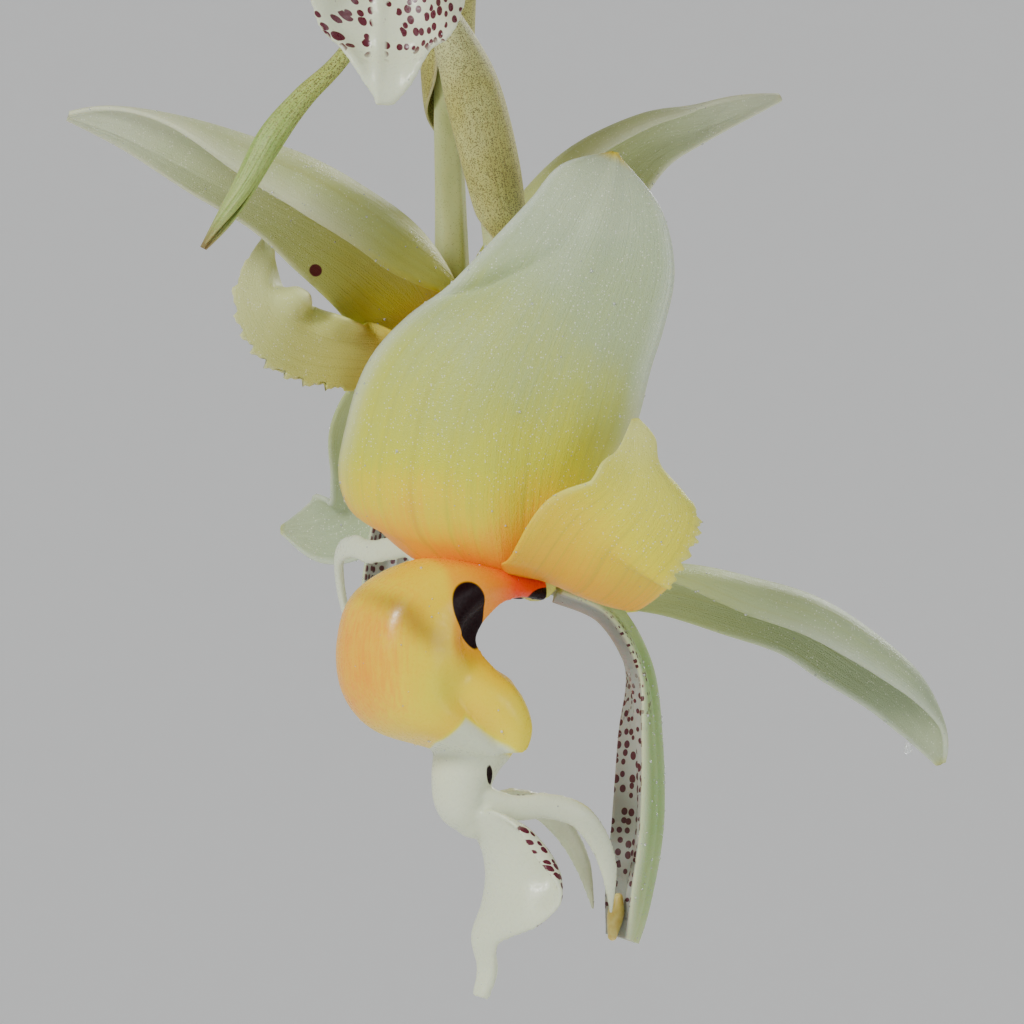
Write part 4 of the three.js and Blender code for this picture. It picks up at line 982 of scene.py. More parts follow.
# The sepals and petals: waxy and almost fleshy, pale green-white at the tips and orange where they spring
# from the top of the ovary. The sepals are broad and hooded, and the petals are thin with a sawn margin.
MAROON = "5b1426"
SPOT_RADIUS = 1.0
SEPAL_THICK = 1.2
PETAL_THICK = 0.9
FLOWERS = {
    "low": dict(at=(2.8, 0, SPRAY_CENTRE_Z - 9.4), yaw=22, lift=0, swing=0),
    "rear": dict(at=(-9.7, 36, SPRAY_CENTRE_Z + 28.5), yaw=104, lift=0, swing=8),
    "high": dict(at=(-17, -14, SPRAY_CENTRE_Z + 125), yaw=-84, lift=22, swing=3),
}


def turning(flower):
    """The matrix that turns a flower's own axes to the part's: its column side is +X, and Y is across it."""

    def about(axis, degrees):
        c, n = math.cos(math.radians(degrees)), math.sin(math.radians(degrees))
        if axis == "Y":
            return np.array([[c, 0, n], [0, 1, 0], [-n, 0, c]])
        return np.array([[c, -n, 0], [n, c, 0], [0, 0, 1]])

    return about("Y", flower["swing"]) @ about("Z", flower["yaw"]) @ about("Y", -flower["lift"])


def placed(points, flower):
    """A flower's own points, turned and moved to where it hangs."""
    return points @ turning(flower).T + np.array(flower["at"])


def bell(value, middle, spread):
    return np.exp(-(((value - middle) / spread) ** 2))


def rising(value, low, high):
    """0 to 1 as value goes from low to high, which may be the lower of the two."""
    f = np.clip((value - low) / (high - low), 0, 1)
    return f * f * (3 - 2 * f)


def toothed(half, teeth=10, depth=0.12, low=0.12, high=0.97):
    """A saw edge on one half of a petal from low to high along it, and a waved margin on its other half."""

    def edge(s, t):
        on_margin = np.maximum(0, t * half) ** 6
        wave = 1 - (s * teeth + 0.3 * np.sin(9 * s)) % 1
        finer = np.abs((s * teeth * 5.3 + 0.4) % 2 - 1)
        span = np.clip((s - low) * 12, 0, 1) * np.clip((high - s) * 12, 0, 1)
        other = np.maximum(0, -t * half) ** 2 * np.clip(s * 4, 0, 1) * np.clip((1 - s) * 4, 0, 1)
        return 1 - depth * (wave + 0.25 * finer) * span * on_margin + 0.07 * np.sin(19 * s) * other

    return edge


def waved(half, height, waves):
    """A margin that waves up and down on one half of a petal."""
    return lambda s, t: (
        height * np.maximum(0, t * half) ** 2 * np.sin(2 * math.pi * waves * s) * np.minimum(1, s * 5)
    )


def hooded(s, t):
    """The near sepal's fold, which runs in from its left margin below the tip, and the swelling beside it."""
    above = s - (0.819 + 0.134 * t)
    inward = np.clip((-0.05 - t) * 1.8, 0, 1)
    fold = -2.3 * inward * np.where(above < 0, bell(above, 0, 0.06), bell(above, 0, 0.02))
    keel = 0.6 * bell(t, 0.16, 0.14) * bell(s, 0.86, 0.13)
    return fold + keel + 0.3 * np.sin(9 * t + 5 * s) * np.clip((0.9 - s) * 2, 0, 1)


TOP_SEPAL = dict(
    spine=[
        (3.5, 0, 0.8), (15, 0, -0.4), (25, 0, -2), (35.5, 0, -4.5), (46, 0, -7.5), (54.5, 0, -12),
        (63, 0, -18), (68.5, 0, -24), (72, 0, -31.5),
    ],
    face=[
        (-0.1, -0.3, -1), (-0.2, -0.6, -1), (-0.3, -0.9, -0.7), (-0.37, -0.93, -0.45),
        (-0.37, -0.93, -0.4), (-0.37, -0.93, -0.35), (-0.37, -0.93, -0.3), (-0.37, -0.93, -0.25),
        (-0.37, -0.93, -0.2),
    ],
    left=[3, 9, 14, 15.5, 16, 15, 12.5, 7, 0.7],
    right=[3, 6.5, 6, 6.5, 7, 7.5, 6.5, 5, 0.7],
    curl_left=[30, 70, 130, 165, 172, 172, 165, 140, 60],
    curl_right=[30, 40, 50, 55, 60, 60, 60, 60, 40],
    squash=0.75,
    thick=SEPAL_THICK,
)
SIDE_SEPAL = dict(
    spine=[(-1.4, 2.6, 0.8), (-7.6, 10.4, 3), (-11, 22, 8), (-10, 36, 16), (-5, 50, 25), (0, 64, 34)],
    face=[
        (-0.5, 0.1, -1), (-0.8, 0.2, -0.8), (-0.9, 0.3, -0.5), (-0.9, 0.4, -0.3), (-0.9, 0.4, -0.3),
        (-0.9, 0.4, -0.3),
    ],
    left=[3.5, 15, 22, 20, 12, 0.6],
    right=[3.5, 12, 19, 18, 11, 0.6],
    curl_left=[20, 60, 100, 110, 110, 60],
    curl_right=[20, 50, 60, 60, 60, 40],
    thick=SEPAL_THICK,
)
SIDE_PETAL = dict(
    spine=[(2.4, 3.4, -0.4), (6, 10.5, -3.4), (9, 18.5, -4), (10, 26, -1), (9, 33, 4), (7, 39, 10)],
    face=[
        (0.1, -0.3, -1), (0.1, -0.2, -1), (0.2, 0, -1), (0.3, 0.3, -0.9), (0.3, 0.5, -0.8),
        (0.3, 0.6, -0.8),
    ],
    left=[3, 8, 11, 11, 8, 0.6],
    right=[3, 9, 12, 12, 8.5, 0.6],
    curl_left=[10, 30, 40, 40, 30, 10],
    curl_right=[10, 10, -10, -20, -20, 0],
    ripple=waved(-1, 3, 2.5),
    edge=toothed(1),
    thick=PETAL_THICK,
)
LOW_NEAR_SEPAL = dict(
    spine=[
        (0, -2.5, 0.6), (-4, -7.5, 0.6), (-5.5, -12, 5), (-6, -14.5, 13), (-4.5, -16, 25.5),
        (1, -16, 39), (8, -14, 53.5), (13, -12, 64.5),
    ],
    face=[
        (0.1, -0.3, -1), (-0.1, -0.6, -0.8), (-0.1, -1, -0.3), (0, -1, 0), (0, -1, 0), (0, -1, 0.05),
        (0, -1, 0.1), (0, -1, 0.1),
    ],
    left=[3, 9.2, 15, 21.3, 26, 27.9, 28.5, 27.2, 25, 20.2, 15, 11.6, 9, 6.9, 0.7],
    right=[3, 7.7, 12, 15.2, 17.5, 19.1, 20.5, 22, 23, 22, 20, 18.6, 16, 10.2, 0.7],
    curl_left=[-10, -30, -55, -58, -50, -30, -10, 0],
    curl_right=[-10, -30, -45, -45, -45, -30, -20, 0],
    ripple=hooded,
    thick=SEPAL_THICK,
)
LOW_FAR_SEPAL = dict(
    spine=[
        (1.5, 2.5, 0.8), (4.5, 9.5, 3), (7, 14, 10), (8, 16, 22), (8.5, 15.5, 34), (10, 13.5, 46),
        (12, 11, 57),
    ],
    face=[
        (0.1, 0.3, -1), (0.2, 0.6, -0.8), (0.3, 1, -0.3), (0.2, 1, 0), (0.2, 1, 0), (0.2, 1, 0),
        (0.2, 1, 0),
    ],
    left=[3, 7, 10, 12, 12, 9, 0.7],
    right=[3, 10, 18, 23, 22, 14, 0.7],
    curl_left=[0, -20, -50, -65, -65, -45, 0],
    curl_right=[0, -30, -60, -65, -65, -40, 0],
    thick=SEPAL_THICK,
)
LOW_NEAR_PETAL = dict(
    spine=[
        (2, -3.5, -0.8), (5, -12, -1), (9, -19, 5.5), (14, -21.5, 11), (16.5, -20.5, 17),
        (16, -18, 23.5),
    ],
    face=[(0, -0.6, -1), (0, -1, -0.4), (0, -1, 0), (0.1, -1, 0), (0.1, -1, 0), (0.1, -1, 0)],
    left=[4, 10.5, 8.5, 6.5, 4.5, 0.6],
    right=[4, 9.5, 13.5, 14.8, 14.6, 14.8, 14.4, 12.8, 3.9, 2.6, 0.6],
    curl_left=[10, 30, 25, 20, 10, 0],
    curl_right=[-10, -20, -20, -25, -30, 0],
    edge=toothed(1, 26, 0.1, 0.45, 0.79),
    thick=PETAL_THICK,
)
LOW_FAR_PETAL = dict(
    spine=[(3, 3, -0.4), (8.5, 9.5, -1.5), (13.5, 16, 0.8), (17, 20, 6.5), (18, 20.5, 13)],
    face=[(-0.1, -0.3, -1), (-0.2, -0.6, -1), (-0.3, -1, -0.5), (-0.3, -1, 0), (-0.3, -1, 0)],
    left=[3, 5, 7, 7, 0.6],
    right=[3, 7, 9, 8, 0.6],
    curl_left=[0],
    curl_right=[0],
    edge=toothed(1),
    thick=PETAL_THICK,
)
REAR_LEFT_SEPAL = dict(
    spine=[
        (-2, -1.5, 0.6), (-7.5, -4.5, 6.5), (-14.5, -9, 12), (-22.5, -14, 16.5), (-30.5, -19, 20.5),
        (-40, -24, 25), (-51, -27, 30.5), (-60.5, -28, 34),
    ],
    face=[
        (0, -0.4, -1), (0.1, -0.8, -0.7), (0.2, -1, -0.4), (0.2, -1, -0.3), (0.3, -1, -0.3),
        (0.3, -1, -0.3), (0.3, -1, -0.3), (0.3, -1, -0.3),
    ],
    left=[3.5, 9.5, 9, 7, 4.5, 3.5, 2, 0.7],
    right=[3.5, 20, 29.5, 31, 30, 23, 10, 0.7],
    curl_left=[10, 30, 40, 45, 50, 50, 40, 20],
    curl_right=[20, 110, 158, 162, 162, 150, 110, 60],
    squash=0.7,
    thick=SEPAL_THICK,
)
REAR_RIGHT_SEPAL = dict(
    spine=[
        (1.5, 0.4, 0.6), (10, -2, 7), (17.5, -4, 16), (24, -4, 24), (32.5, -2, 31), (41.5, 1, 34.5),
        (54, 4, 40),
    ],
    face=[
        (0, -0.6, -1), (-0.3, -1, -0.6), (-0.4, -1, -0.2), (-0.3, -1, 0), (-0.3, -1, 0), (-0.3, -1, 0),
        (-0.3, -1, 0),
    ],
    left=[3, 17, 22, 19.5, 13, 7, 0.7],
    right=[3, 7, 8.5, 8, 4.5, 2, 0.7],
    curl_left=[20, 110, 158, 162, 158, 120, 40],
    curl_right=[10, 30, 40, 40, 30, 20, 10],
    squash=0.7,
    thick=SEPAL_THICK,
)
REAR_RIGHT_PETAL = dict(
    spine=[(2.6, 2.4, -0.4), (10, 8.5, -3.4), (18, 15, -3), (23, 21, 0), (26, 26, 4.6)],
    face=[(0, -0.6, -1), (0, -0.8, -1), (0, -1, -0.8), (0, -1, -0.7), (0, -1, -0.6)],
    left=[3, 8, 10, 8, 0.6],
    right=[3, 8, 11, 9, 0.6],
    curl_left=[10, 30, 40, 30, 10],
    curl_right=[10, 10, -10, -20, 0],
    ripple=waved(-1, 3, 2.5),
    edge=toothed(1),
    thick=PETAL_THICK,
)
REAR_TOP_SEPAL = dict(
    spine=[
        (-0.8, 2.5, 0.6), (-9, 16, -7), (-15, 26, -14.5), (-17, 34, -22.5), (-18.5, 39, -28.5),
        (-23.5, 42, -31.5), (-30.5, 43, -31.5),
    ],
    face=[
        (-0.4, -0.6, -1), (-0.3, -1, -0.8), (0, -1, -0.2), (0.2, -1, 0), (0.2, -1, 0.2),
        (0.1, -1, 0.2), (0, -1, 0.2),
    ],
    left=[3, 7.5, 9, 9, 8.5, 6.5, 0.7],
    right=[3, 7, 6.5, 4.8, 4.4, 6, 0.7],
    curl_left=[30, 60, 70, 60, 40, 30, 20],
    curl_right=[30, 40, 40, 30, 20, 20, 20],
    thick=SEPAL_THICK,
)
REAR_LEFT_PETAL = dict(
    spine=[
        (-3.5, -1, -0.3), (-11, -3, -2), (-17, -6, -2), (-23, -8, -1), (-28, -10, 2), (-31, -10, 7.5),
        (-30.5, -6, 16),
    ],
    face=[
        (0, -0.6, -1), (0, -1, -0.5), (0.1, -1, -0.2), (0.1, -1, -0.1), (0.1, -1, 0), (0.1, -1, 0),
        (0.1, -1, 0),
    ],
    left=[3, 6, 7, 7.5, 7, 5, 0.6],
    right=[3, 4.5, 6, 7, 7, 5, 0.6],
    curl_left=[0, 10, 10, 10, 0, 0, 0],
    curl_right=[10, 40, 60, 60, 50, 30, 0],
    ripple=waved(1, 4, 3.2),
    edge=toothed(-1, 15, 0.2, 0.3, 0.97),
    thick=PETAL_THICK,
)


def across_flower(shape):
    """A blade for the other side of a flower, across its plane of symmetry."""
    flip = np.array([1, -1, 1])
    made = dict(
        shape,
        spine=np.array(shape["spine"]) * flip,
        face=np.array(shape["face"]) * flip,
        left=shape["right"],
        right=shape["left"],
        curl_left=shape["curl_right"],
        curl_right=shape["curl_left"],
    )
    for key in ("ripple", "edge"):
        if key in shape:
            made[key] = lambda s, t, way=shape[key]: way(s, -t)
    return made


def tepal_skin(name, margin, tip, *stops, lone_spot=None):
    """The waxy skin of a sepal or petal, from its base to its tip in the given stops."""
    made, nodes = finish(
        name, Roughness=0.42, Subsurface_Weight=0.18, Subsurface_Scale=0.0012, Specular_IOR_Level=0.4
    )
    nodes.coat(Subsurface_Radius=(1.0, 0.75, 0.35))
    here = nodes.where()
    across, along = nodes.skin()
    laid_flat = nodes.laid_flat()
    cloud = nodes.noise(here, 70.0, 4.0)
    uneven = nodes.sum("ADD", along, nodes.between(cloud, 0.3, 0.7, -0.035, 0.035))
    streaks = nodes.noise(nodes.stretched(laid_flat, 70.0, 2.2, 1.0), 1.0, 4.0, 0.6)
    uneven = nodes.sum("ADD", uneven, nodes.between(streaks, 0.3, 0.7, -0.022, 0.022))
    flesh = nodes.ramp(uneven, *stops)
    vein = nodes.noise(nodes.stretched(laid_flat, 30.0, 0.7, 1.0), 1.0, 2.0)
    vein = nodes.product(nodes.between(vein, 0.5, 0.68, 0.0, 0.22), nodes.between(along, 0.85, 0.5))
    flesh = nodes.mix(vein, flesh, tint("a8a63c"))
    # Painted highlights: near-white glints on the papillae, mixed into the colour away from the base.
    glints = nodes.effect(dots, Scale=2900.0, Size=0.24, Kept=0.32)
    sparkles = nodes.product(glints, nodes.between(along, 0.3, 0.5, 0.0, 0.6))
    flesh = nodes.mix(sparkles, flesh, tint("fdfdee"))
    rim = nodes.off_middle(across)
    rim = nodes.product(nodes.between(rim, 0.8, 1.0, 0.0, 0.6), nodes.between(along, 0.3, 0.6))
    flesh = nodes.mix(rim, flesh, tint(margin))
    flesh = nodes.mix(nodes.between(along, 0.965, 1.0), flesh, tint(tip))
    if lone_spot:
        apart = nodes.add("SeparateXYZ", Vector=here)
        x, z = [nodes.sum("SUBTRACT", apart.outputs[i], lone_spot[i] * MM) for i in (0, 2)]
        off = nodes.sum("SQRT", nodes.sum("MULTIPLY_ADD", x, x, nodes.product(z, z)))
        inside = nodes.between(off, (SPOT_RADIUS + 0.1) * MM, (SPOT_RADIUS - 0.1) * MM)
        flesh = nodes.mix(inside, flesh, tint(MAROON))
    nodes.coat(Base_Color=flesh)
    papillae = nodes.noise(here, 4600.0, 1.0, 0.5)
    nodes.coat(Roughness=nodes.between(papillae, 0.35, 0.65, 0.3, 0.5))
    ribs = nodes.bump(streaks, 0.00018)
    nodes.coat(Normal=nodes.bump(papillae, 0.00012, ribs))
    return made


sepal_skin = tepal_skin(
    "sepal_skin", "d9e2d4", "e8cf3a",
    (0.0, "ffa200"), (0.27, "ffb200"), (0.325, "fcc400"), (0.385, "f0d80a"), (0.46, "d6d62c"),
    (0.6, "c0ca5c"), (0.73, "b2c286"), (0.86, "b4c49c"), (0.96, "c4d0ac"),
)
petal_skin = tepal_skin(
    "petal_skin", "e9ea8e", "e6e56c",
    (0.0, "ffa400"), (0.22, "fdbc00"), (0.34, "f6d004"), (0.5, "ebdf26"), (0.72, "e2e052"), (0.95, "e4e684"),
)
pale_petal_skin = tepal_skin(
    "pale_petal_skin", "e4e4b0", "e3e3b4",
    (0.0, "efae14"), (0.14, "e0c42c"), (0.28, "cfce66"), (0.6, "cfd480"), (0.95, "d6dc9c"),
)
top_sepal_skin = tepal_skin(
    "top_sepal_skin", "d3dcc6", "cdd48a",
    (0.0, "d6cc5c"), (0.18, "b8c47c"), (0.5, "aebd8a"), (0.8, "abba92"), (0.98, "c4d0a8"),
)
rear_sepal_skin = tepal_skin(
    "rear_sepal_skin", "dadcbc", "dadfba",
    (0.0, "ccb010"), (0.16, "c2c03c"), (0.36, "bcc474"), (0.75, "c0ca9a"), (0.97, "d3dabc"),
    lone_spot=(-31.7, 0, -527.0),
)
PERIANTHS = {
    "low": [
        ("petal_near", LOW_NEAR_PETAL, petal_skin, False),
        ("petal_far", LOW_FAR_PETAL, petal_skin, False),
        ("sepal_near", LOW_NEAR_SEPAL, sepal_skin, False),
        ("sepal_far", LOW_FAR_SEPAL, sepal_skin, False),
        ("sepal_top", TOP_SEPAL, top_sepal_skin, True),
    ],
    "rear": [
        ("petal_left", REAR_LEFT_PETAL, pale_petal_skin, False),
        ("petal_right", REAR_RIGHT_PETAL, petal_skin, False),
        ("sepal_top", REAR_TOP_SEPAL, top_sepal_skin, False),
        ("sepal_left", REAR_LEFT_SEPAL, rear_sepal_skin, False),
        ("sepal_right", REAR_RIGHT_SEPAL, rear_sepal_skin, False),
    ],
    "high": [
        ("petal_left", SIDE_PETAL, petal_skin, True),
        ("petal_right", across_flower(SIDE_PETAL), petal_skin, True),
        ("sepal_top", TOP_SEPAL, top_sepal_skin, True),
        ("sepal_left", SIDE_SEPAL, sepal_skin, True),
        ("sepal_right", across_flower(SIDE_SEPAL), sepal_skin, True),
    ],
}
BOSS = [(0.8, 0, 2.4), (0.8, 0, 0.8), (0.8, 0, -0.8)]
SKIN_DEW = 0.05
RIM_SHARE = 0.03
wet = {name: [] for name in FLOWERS}

for name, blades in PERIANTHS.items():
    flower = FLOWERS[name]
    for label, shape, skin, has_turned in blades:
        points, faces, uvs = blade(shape, 150, 48) if "edge" in shape else blade(shape, 96, 44)
        points = placed(points, flower) if has_turned else points + np.array(flower["at"])
        replaced = [f"{name}_sepals_and_petals"]
        shown(f"{name}_{label}", (points, faces, uvs), skin, replaced, "tepal")
        rim = np.abs(uvs[:, 0] * 2 - 1) > 1 - RIM_SHARE
        dewy = np.full(len(points), SKIN_DEW)
        dewy[np.concatenate(faces)[rim]] = 1
        wet[name].append((points, faces, uvs, dewy))
    points, faces, uvs = rod(BOSS, [(4.2, 4.2), (5, 5), (3.8, 3.8)], 48, 12, [(1, 0, 0)])
    points = placed(points, flower)
    shown(f"{name}_boss", (points, faces, uvs), petal_skin, replaced, "tepal")

# The columns: a stout arch of green-white tissue, with thin wings on its lower half that are spotted inside,
# and a small cream cap over the anther at its end.
COLUMN = dict(
    spine=[
        (4.6, 0, -2.6), (13, 0, -6.2), (18.6, 0, -14.8), (20.4, 0, -26), (20.6, 0, -40),
        (18.4, 0, -52), (16.4, 0, -58),
    ],
    face=[
        (0, 0, -1), (-0.6, 0, -0.8), (-0.9, 0, -0.4), (-1, 0, 0), (-1, 0, 0), (-1, 0, 0.2),
        (-1, 0, 0.3),
    ],
    thick=1.2,
    rib=3.4,
    **even([2.4, 2.6, 3, 6.2, 7.6, 6.6, 4.6], [40, 50, 60, 72, 75, 70, 50]),
)
COLUMN_DEW = (0.3, 0.7)
ANTHER_CAP = [(15, 0, -51.4), (14.6, 0, -54), (14, 0, -57.4)]

column_skin, nodes = finish(
    "column_skin", Roughness=0.38, Subsurface_Weight=0.3, Subsurface_Scale=0.0015, Specular_IOR_Level=0.5
)
here = nodes.where()
across, along = nodes.skin()
inner = nodes.value_of("inner")
cloud = nodes.noise(here, 120.0, 4.0)
back = nodes.ramp(
    nodes.sum("ADD", along, nodes.between(cloud, 0.3, 0.7, -0.05, 0.05)),
    (0.0, "d0d27c"), (0.12, "bccb90"), (0.35, "93b068"), (0.7, "90b062"), (1.0, "bac888"),
)
rim = nodes.off_middle(across)
back = nodes.mix(nodes.between(rim, 0.7, 1.0, 0.0, 0.7), back, tint("d3ddb8"))
flesh = nodes.mix(inner, back, tint("a4a79e"))
on_wing = nodes.product(inner, nodes.between(along, 0.3, 0.42), nodes.between(along, 0.93, 0.86))
laid_flat = nodes.stretched(nodes.laid_flat(), 15.0, 74.0, 1.0)
blotches = nodes.product(nodes.effect(spots, Place=laid_flat, Scale=0.62, Size=0.36, Kept=0.8), on_wing)
dashed = nodes.stretched(laid_flat, 1.0, 0.55, 1.0)
neck_dashes = nodes.product(
    nodes.effect(spots, Place=dashed, Scale=1.3, Size=0.32, Kept=0.6),
    nodes.between(rim, 0.4, 0.7),
    nodes.between(along, 0.12, 0.2),
    nodes.between(along, 0.5, 0.4),
)
nodes.coat(Base_Color=nodes.mix(nodes.sum("MAXIMUM", blotches, neck_dashes), flesh, tint("4e1222")))
papillae = nodes.noise(here, 2600.0, 2.0, 0.6)
nodes.coat(Normal=nodes.bump(papillae, 0.0001))

cap_skin, nodes = finish("anther_cap_skin", Roughness=0.4, Subsurface_Weight=0.2, Subsurface_Scale=0.001)
waxy = nodes.noise(nodes.where(), 700.0, 3.0)
nodes.coat(Base_Color=nodes.ramp(waxy, (0.3, "d8bc54"), (0.6, "e8d67c"), (0.8, "efe6b0")))
nodes.coat(Normal=nodes.bump(waxy, 0.0002))

for name, flower in FLOWERS.items():
    points, faces, uvs = blade(COLUMN, 120, 56)
    inside = np.repeat([1.0, 0.0], len(points) // 2)
    solid = placed(points, flower), faces, uvs
    shown(name + "_column_arch", solid, column_skin, [name + "_column"], "column", inner=inside)
    wet[name].append((*solid, np.where(inside > 0.5, COLUMN_DEW[0], COLUMN_DEW[1])))
    points, faces, uvs = rod(ANTHER_CAP, [(0.8, 0.9), (1.3, 1.5), (0.7, 0.9)], 32, 24, [(1, 0, 0)])
    points = placed(points, flower)
    shown(name + "_anther_cap_waxy", (points, faces, uvs), cap_skin, [name + "_anther_cap"], "anther")

# The lips: a swollen boat of orange and yellow with a dark eye on either wall, a white neck, two curved
# horns, and a pointed end lobe that hangs between them, spotted inside. The parts are fused into one skin.
POUCH = [
    (0.8, -1.0, 0, -1, 3, 4, 3.6),
    (-8, 0.6, 0.64, -0.77, 5.4, 7.5, 7),
    (-18.5, 1.4, 0.86, -0.5, 12, 10, 8),
    (-27.8, -3.2, 0.97, -0.26, 17.2, 11, 8),
    (-30.6, -10.8, 1, 0, 18.4, 11.5, 8),
    (-29.8, -18.2, 0.99, 0.16, 20.6, 11.5, 8.5),
    (-25.3, -23.6, 0.97, 0.24, 20.2, 11, 9.4),
    (-17.5, -26.2, 0.98, 0.19, 14, 9.6, 9),
    (-11, -28, 1, 0.1, 6.6, 8, 7.4),
]
POUCH_THICK = 1.5
NECK = [(-8.2, 0, -21), (-9, 0, -25), (-10.6, 0, -29), (-11.5, 0, -32.6), (-11.2, 0, -36), (-9.6, 0, -38.6)]
NECK_RADII = [(6.4, 6.6), (6.6, 6.6), (5.3, 6), (4.6, 5.4), (4.2, 4.8), (2.8, 3.6)]
HORN = [
    (-13.6, 1.6, -33), (-5.4, 5, -36.3), (-0.1, 6.5, -36.1), (5.3, 7, -37.7), (9.3, 6.2, -42.2),
    (11.4, 5, -47.3), (12.2, 3.6, -53.1),
]
HORN_RADII = [(2.2, 1.4), (2.1, 1.1), (2.1, 1), (2.1, 0.9), (1.9, 0.8), (1.4, 0.7), (0.4, 0.4)]
HORN_FACE = [
    (0, 0, 1), (0, 0, 1), (0.1, 0, 1), (0.5, 0, 0.9), (0.9, 0, 0.4), (1, 0, 0.2), (1, 0, 0),
]
HORN_SPLAY = {"low": 1.0, "rear": 1.8, "high": 1.0}
END_LOBE = dict(
    spine=[
        (-10.5, 0, -37.5), (-7.2, 0, -42), (-6.1, 0, -47), (-6.8, 0, -51.8), (-8.6, 0, -56.6),
        (-7.7, 0, -61.5), (-8.6, 0, -66),
    ],
    face=[(1, -0.15, 0.2)],
    rolled_back=lambda s, t: 190 / 57.3 * bell(s, 0.24, 0.17) * rising(np.abs(t), 0.68, 0.98),
    thick=1.3,
    rib=1.2,
)
KEEL_OFF = (0.7, -1.7, 0)
KEEL_RADII = [(1.0, 1.0)] * 6 + [(0.5, 0.5)]
LOBE_CURLS = [60, 85, 95, 62, 55, 50, 20]
LOBE_SHARES = {"low": 1.0, "rear": 0.62, "high": 0.95}
OPEN_LOBE = [7, 12.5, 15.6, 14, 10, 5.6, 0.8]
LOBE_WIDTHS = {"low": [7, 13.5, 17, 14.6, 6.4, 2.8, 2.2], "rear": OPEN_LOBE, "high": OPEN_LOBE}
SPOT_SHARES = {"low": 1.0, "rear": 1.0, "high": 0.85}
LIP_CELLS = {"low": 0.46, "rear": 0.62, "high": 0.58}


def pouch(rows, cols):
    """The boat's wall: from rim to rim round its keel, with both rims rolled in over the mouth."""
    s = np.linspace(0, 1, rows + 1)
    t = np.linspace(0, 1, cols + 1)
    x, z, in_x, in_z, depth, wide, mouth = spline(POUCH, s).T
    none = np.zeros_like(wide)
    folded = [(mouth - 0.5, 1), (mouth, 0.91), (mouth + 0.7, 0.82), (wide * 0.94, 0.745), (wide, 0.66)]
    folded += [(wide * 1.01, 0.45), (wide * 0.78, 0.17), (none, 0)]
    lobed = [(mouth - 0.8, 1), (mouth + 1.2, 0.93), (mouth + 1.9, 0.8), (mouth + 1.2, 0.68)]
    lobed += [(wide * 0.86, 0.56), (wide * 0.98, 0.36), (wide * 0.76, 0.13), (none, 0)]
    lower = rising(s, 0.52, 0.72)
    wall = [
        [a * (1 - lower) + b * lower, share_a * (1 - lower) + share_b * lower]
        for (a, share_a), (b, share_b) in zip(folded, lobed)
    ]
    wall = np.array(wall)
    near = wall * np.array([-1, 1])[None, :, None]
    ring = np.concatenate([near, wall[:-1][::-1]])
    y, share = np.moveaxis(spline(ring, t), 0, -1)
    long = np.hypot(in_x, in_z)
    reach = share * depth[:, None]
    inward = [start[:, None] + (way / long)[:, None] * reach for start, way in ((x, in_x), (z, in_z))]
    middle = np.stack([inward[0], y, inward[1]], 2)
    return sheet(middle, np.full(middle.shape[:2], POUCH_THICK))


def fused(solid, cell, rounds):
    """The union of parts that pass into each other, as an even skin smoothed where they join."""
    points, faces, _ = solid
    mesh = bpy.data.meshes.new("fusing")
    mesh.from_pydata((points * MM).tolist(), [], faces)
    work = linked("fusing", mesh)
    union = work.modifiers.new("union", "REMESH")
    union.mode = "VOXEL"
    union.voxel_size = cell * MM
    smooth = work.modifiers.new("smooth", "SMOOTH")
    smooth.iterations = rounds
    got = worked_out(work)
    places = np.empty(len(got.vertices) * 3, np.float32)
    got.vertices.foreach_get("co", places)
    outward = np.empty(len(got.vertices) * 3, np.float32)
    got.vertices.foreach_get("normal", outward)
    got_faces = [list(face.vertices) for face in got.polygons]
    bpy.data.objects.remove(work)
    bpy.data.meshes.remove(mesh)
    return places.reshape(-1, 3).astype(float) / MM, got_faces, outward.reshape(-1, 3)


def nearest_values(points, source, values):
    """For each point, the value of the source point that lies nearest to it."""
    tree = KDTree(len(source))
    for index, place in enumerate(source):
        tree.insert(place, index)
    tree.balance()
    return np.array([values[tree.find(place)[1]] for place in points])


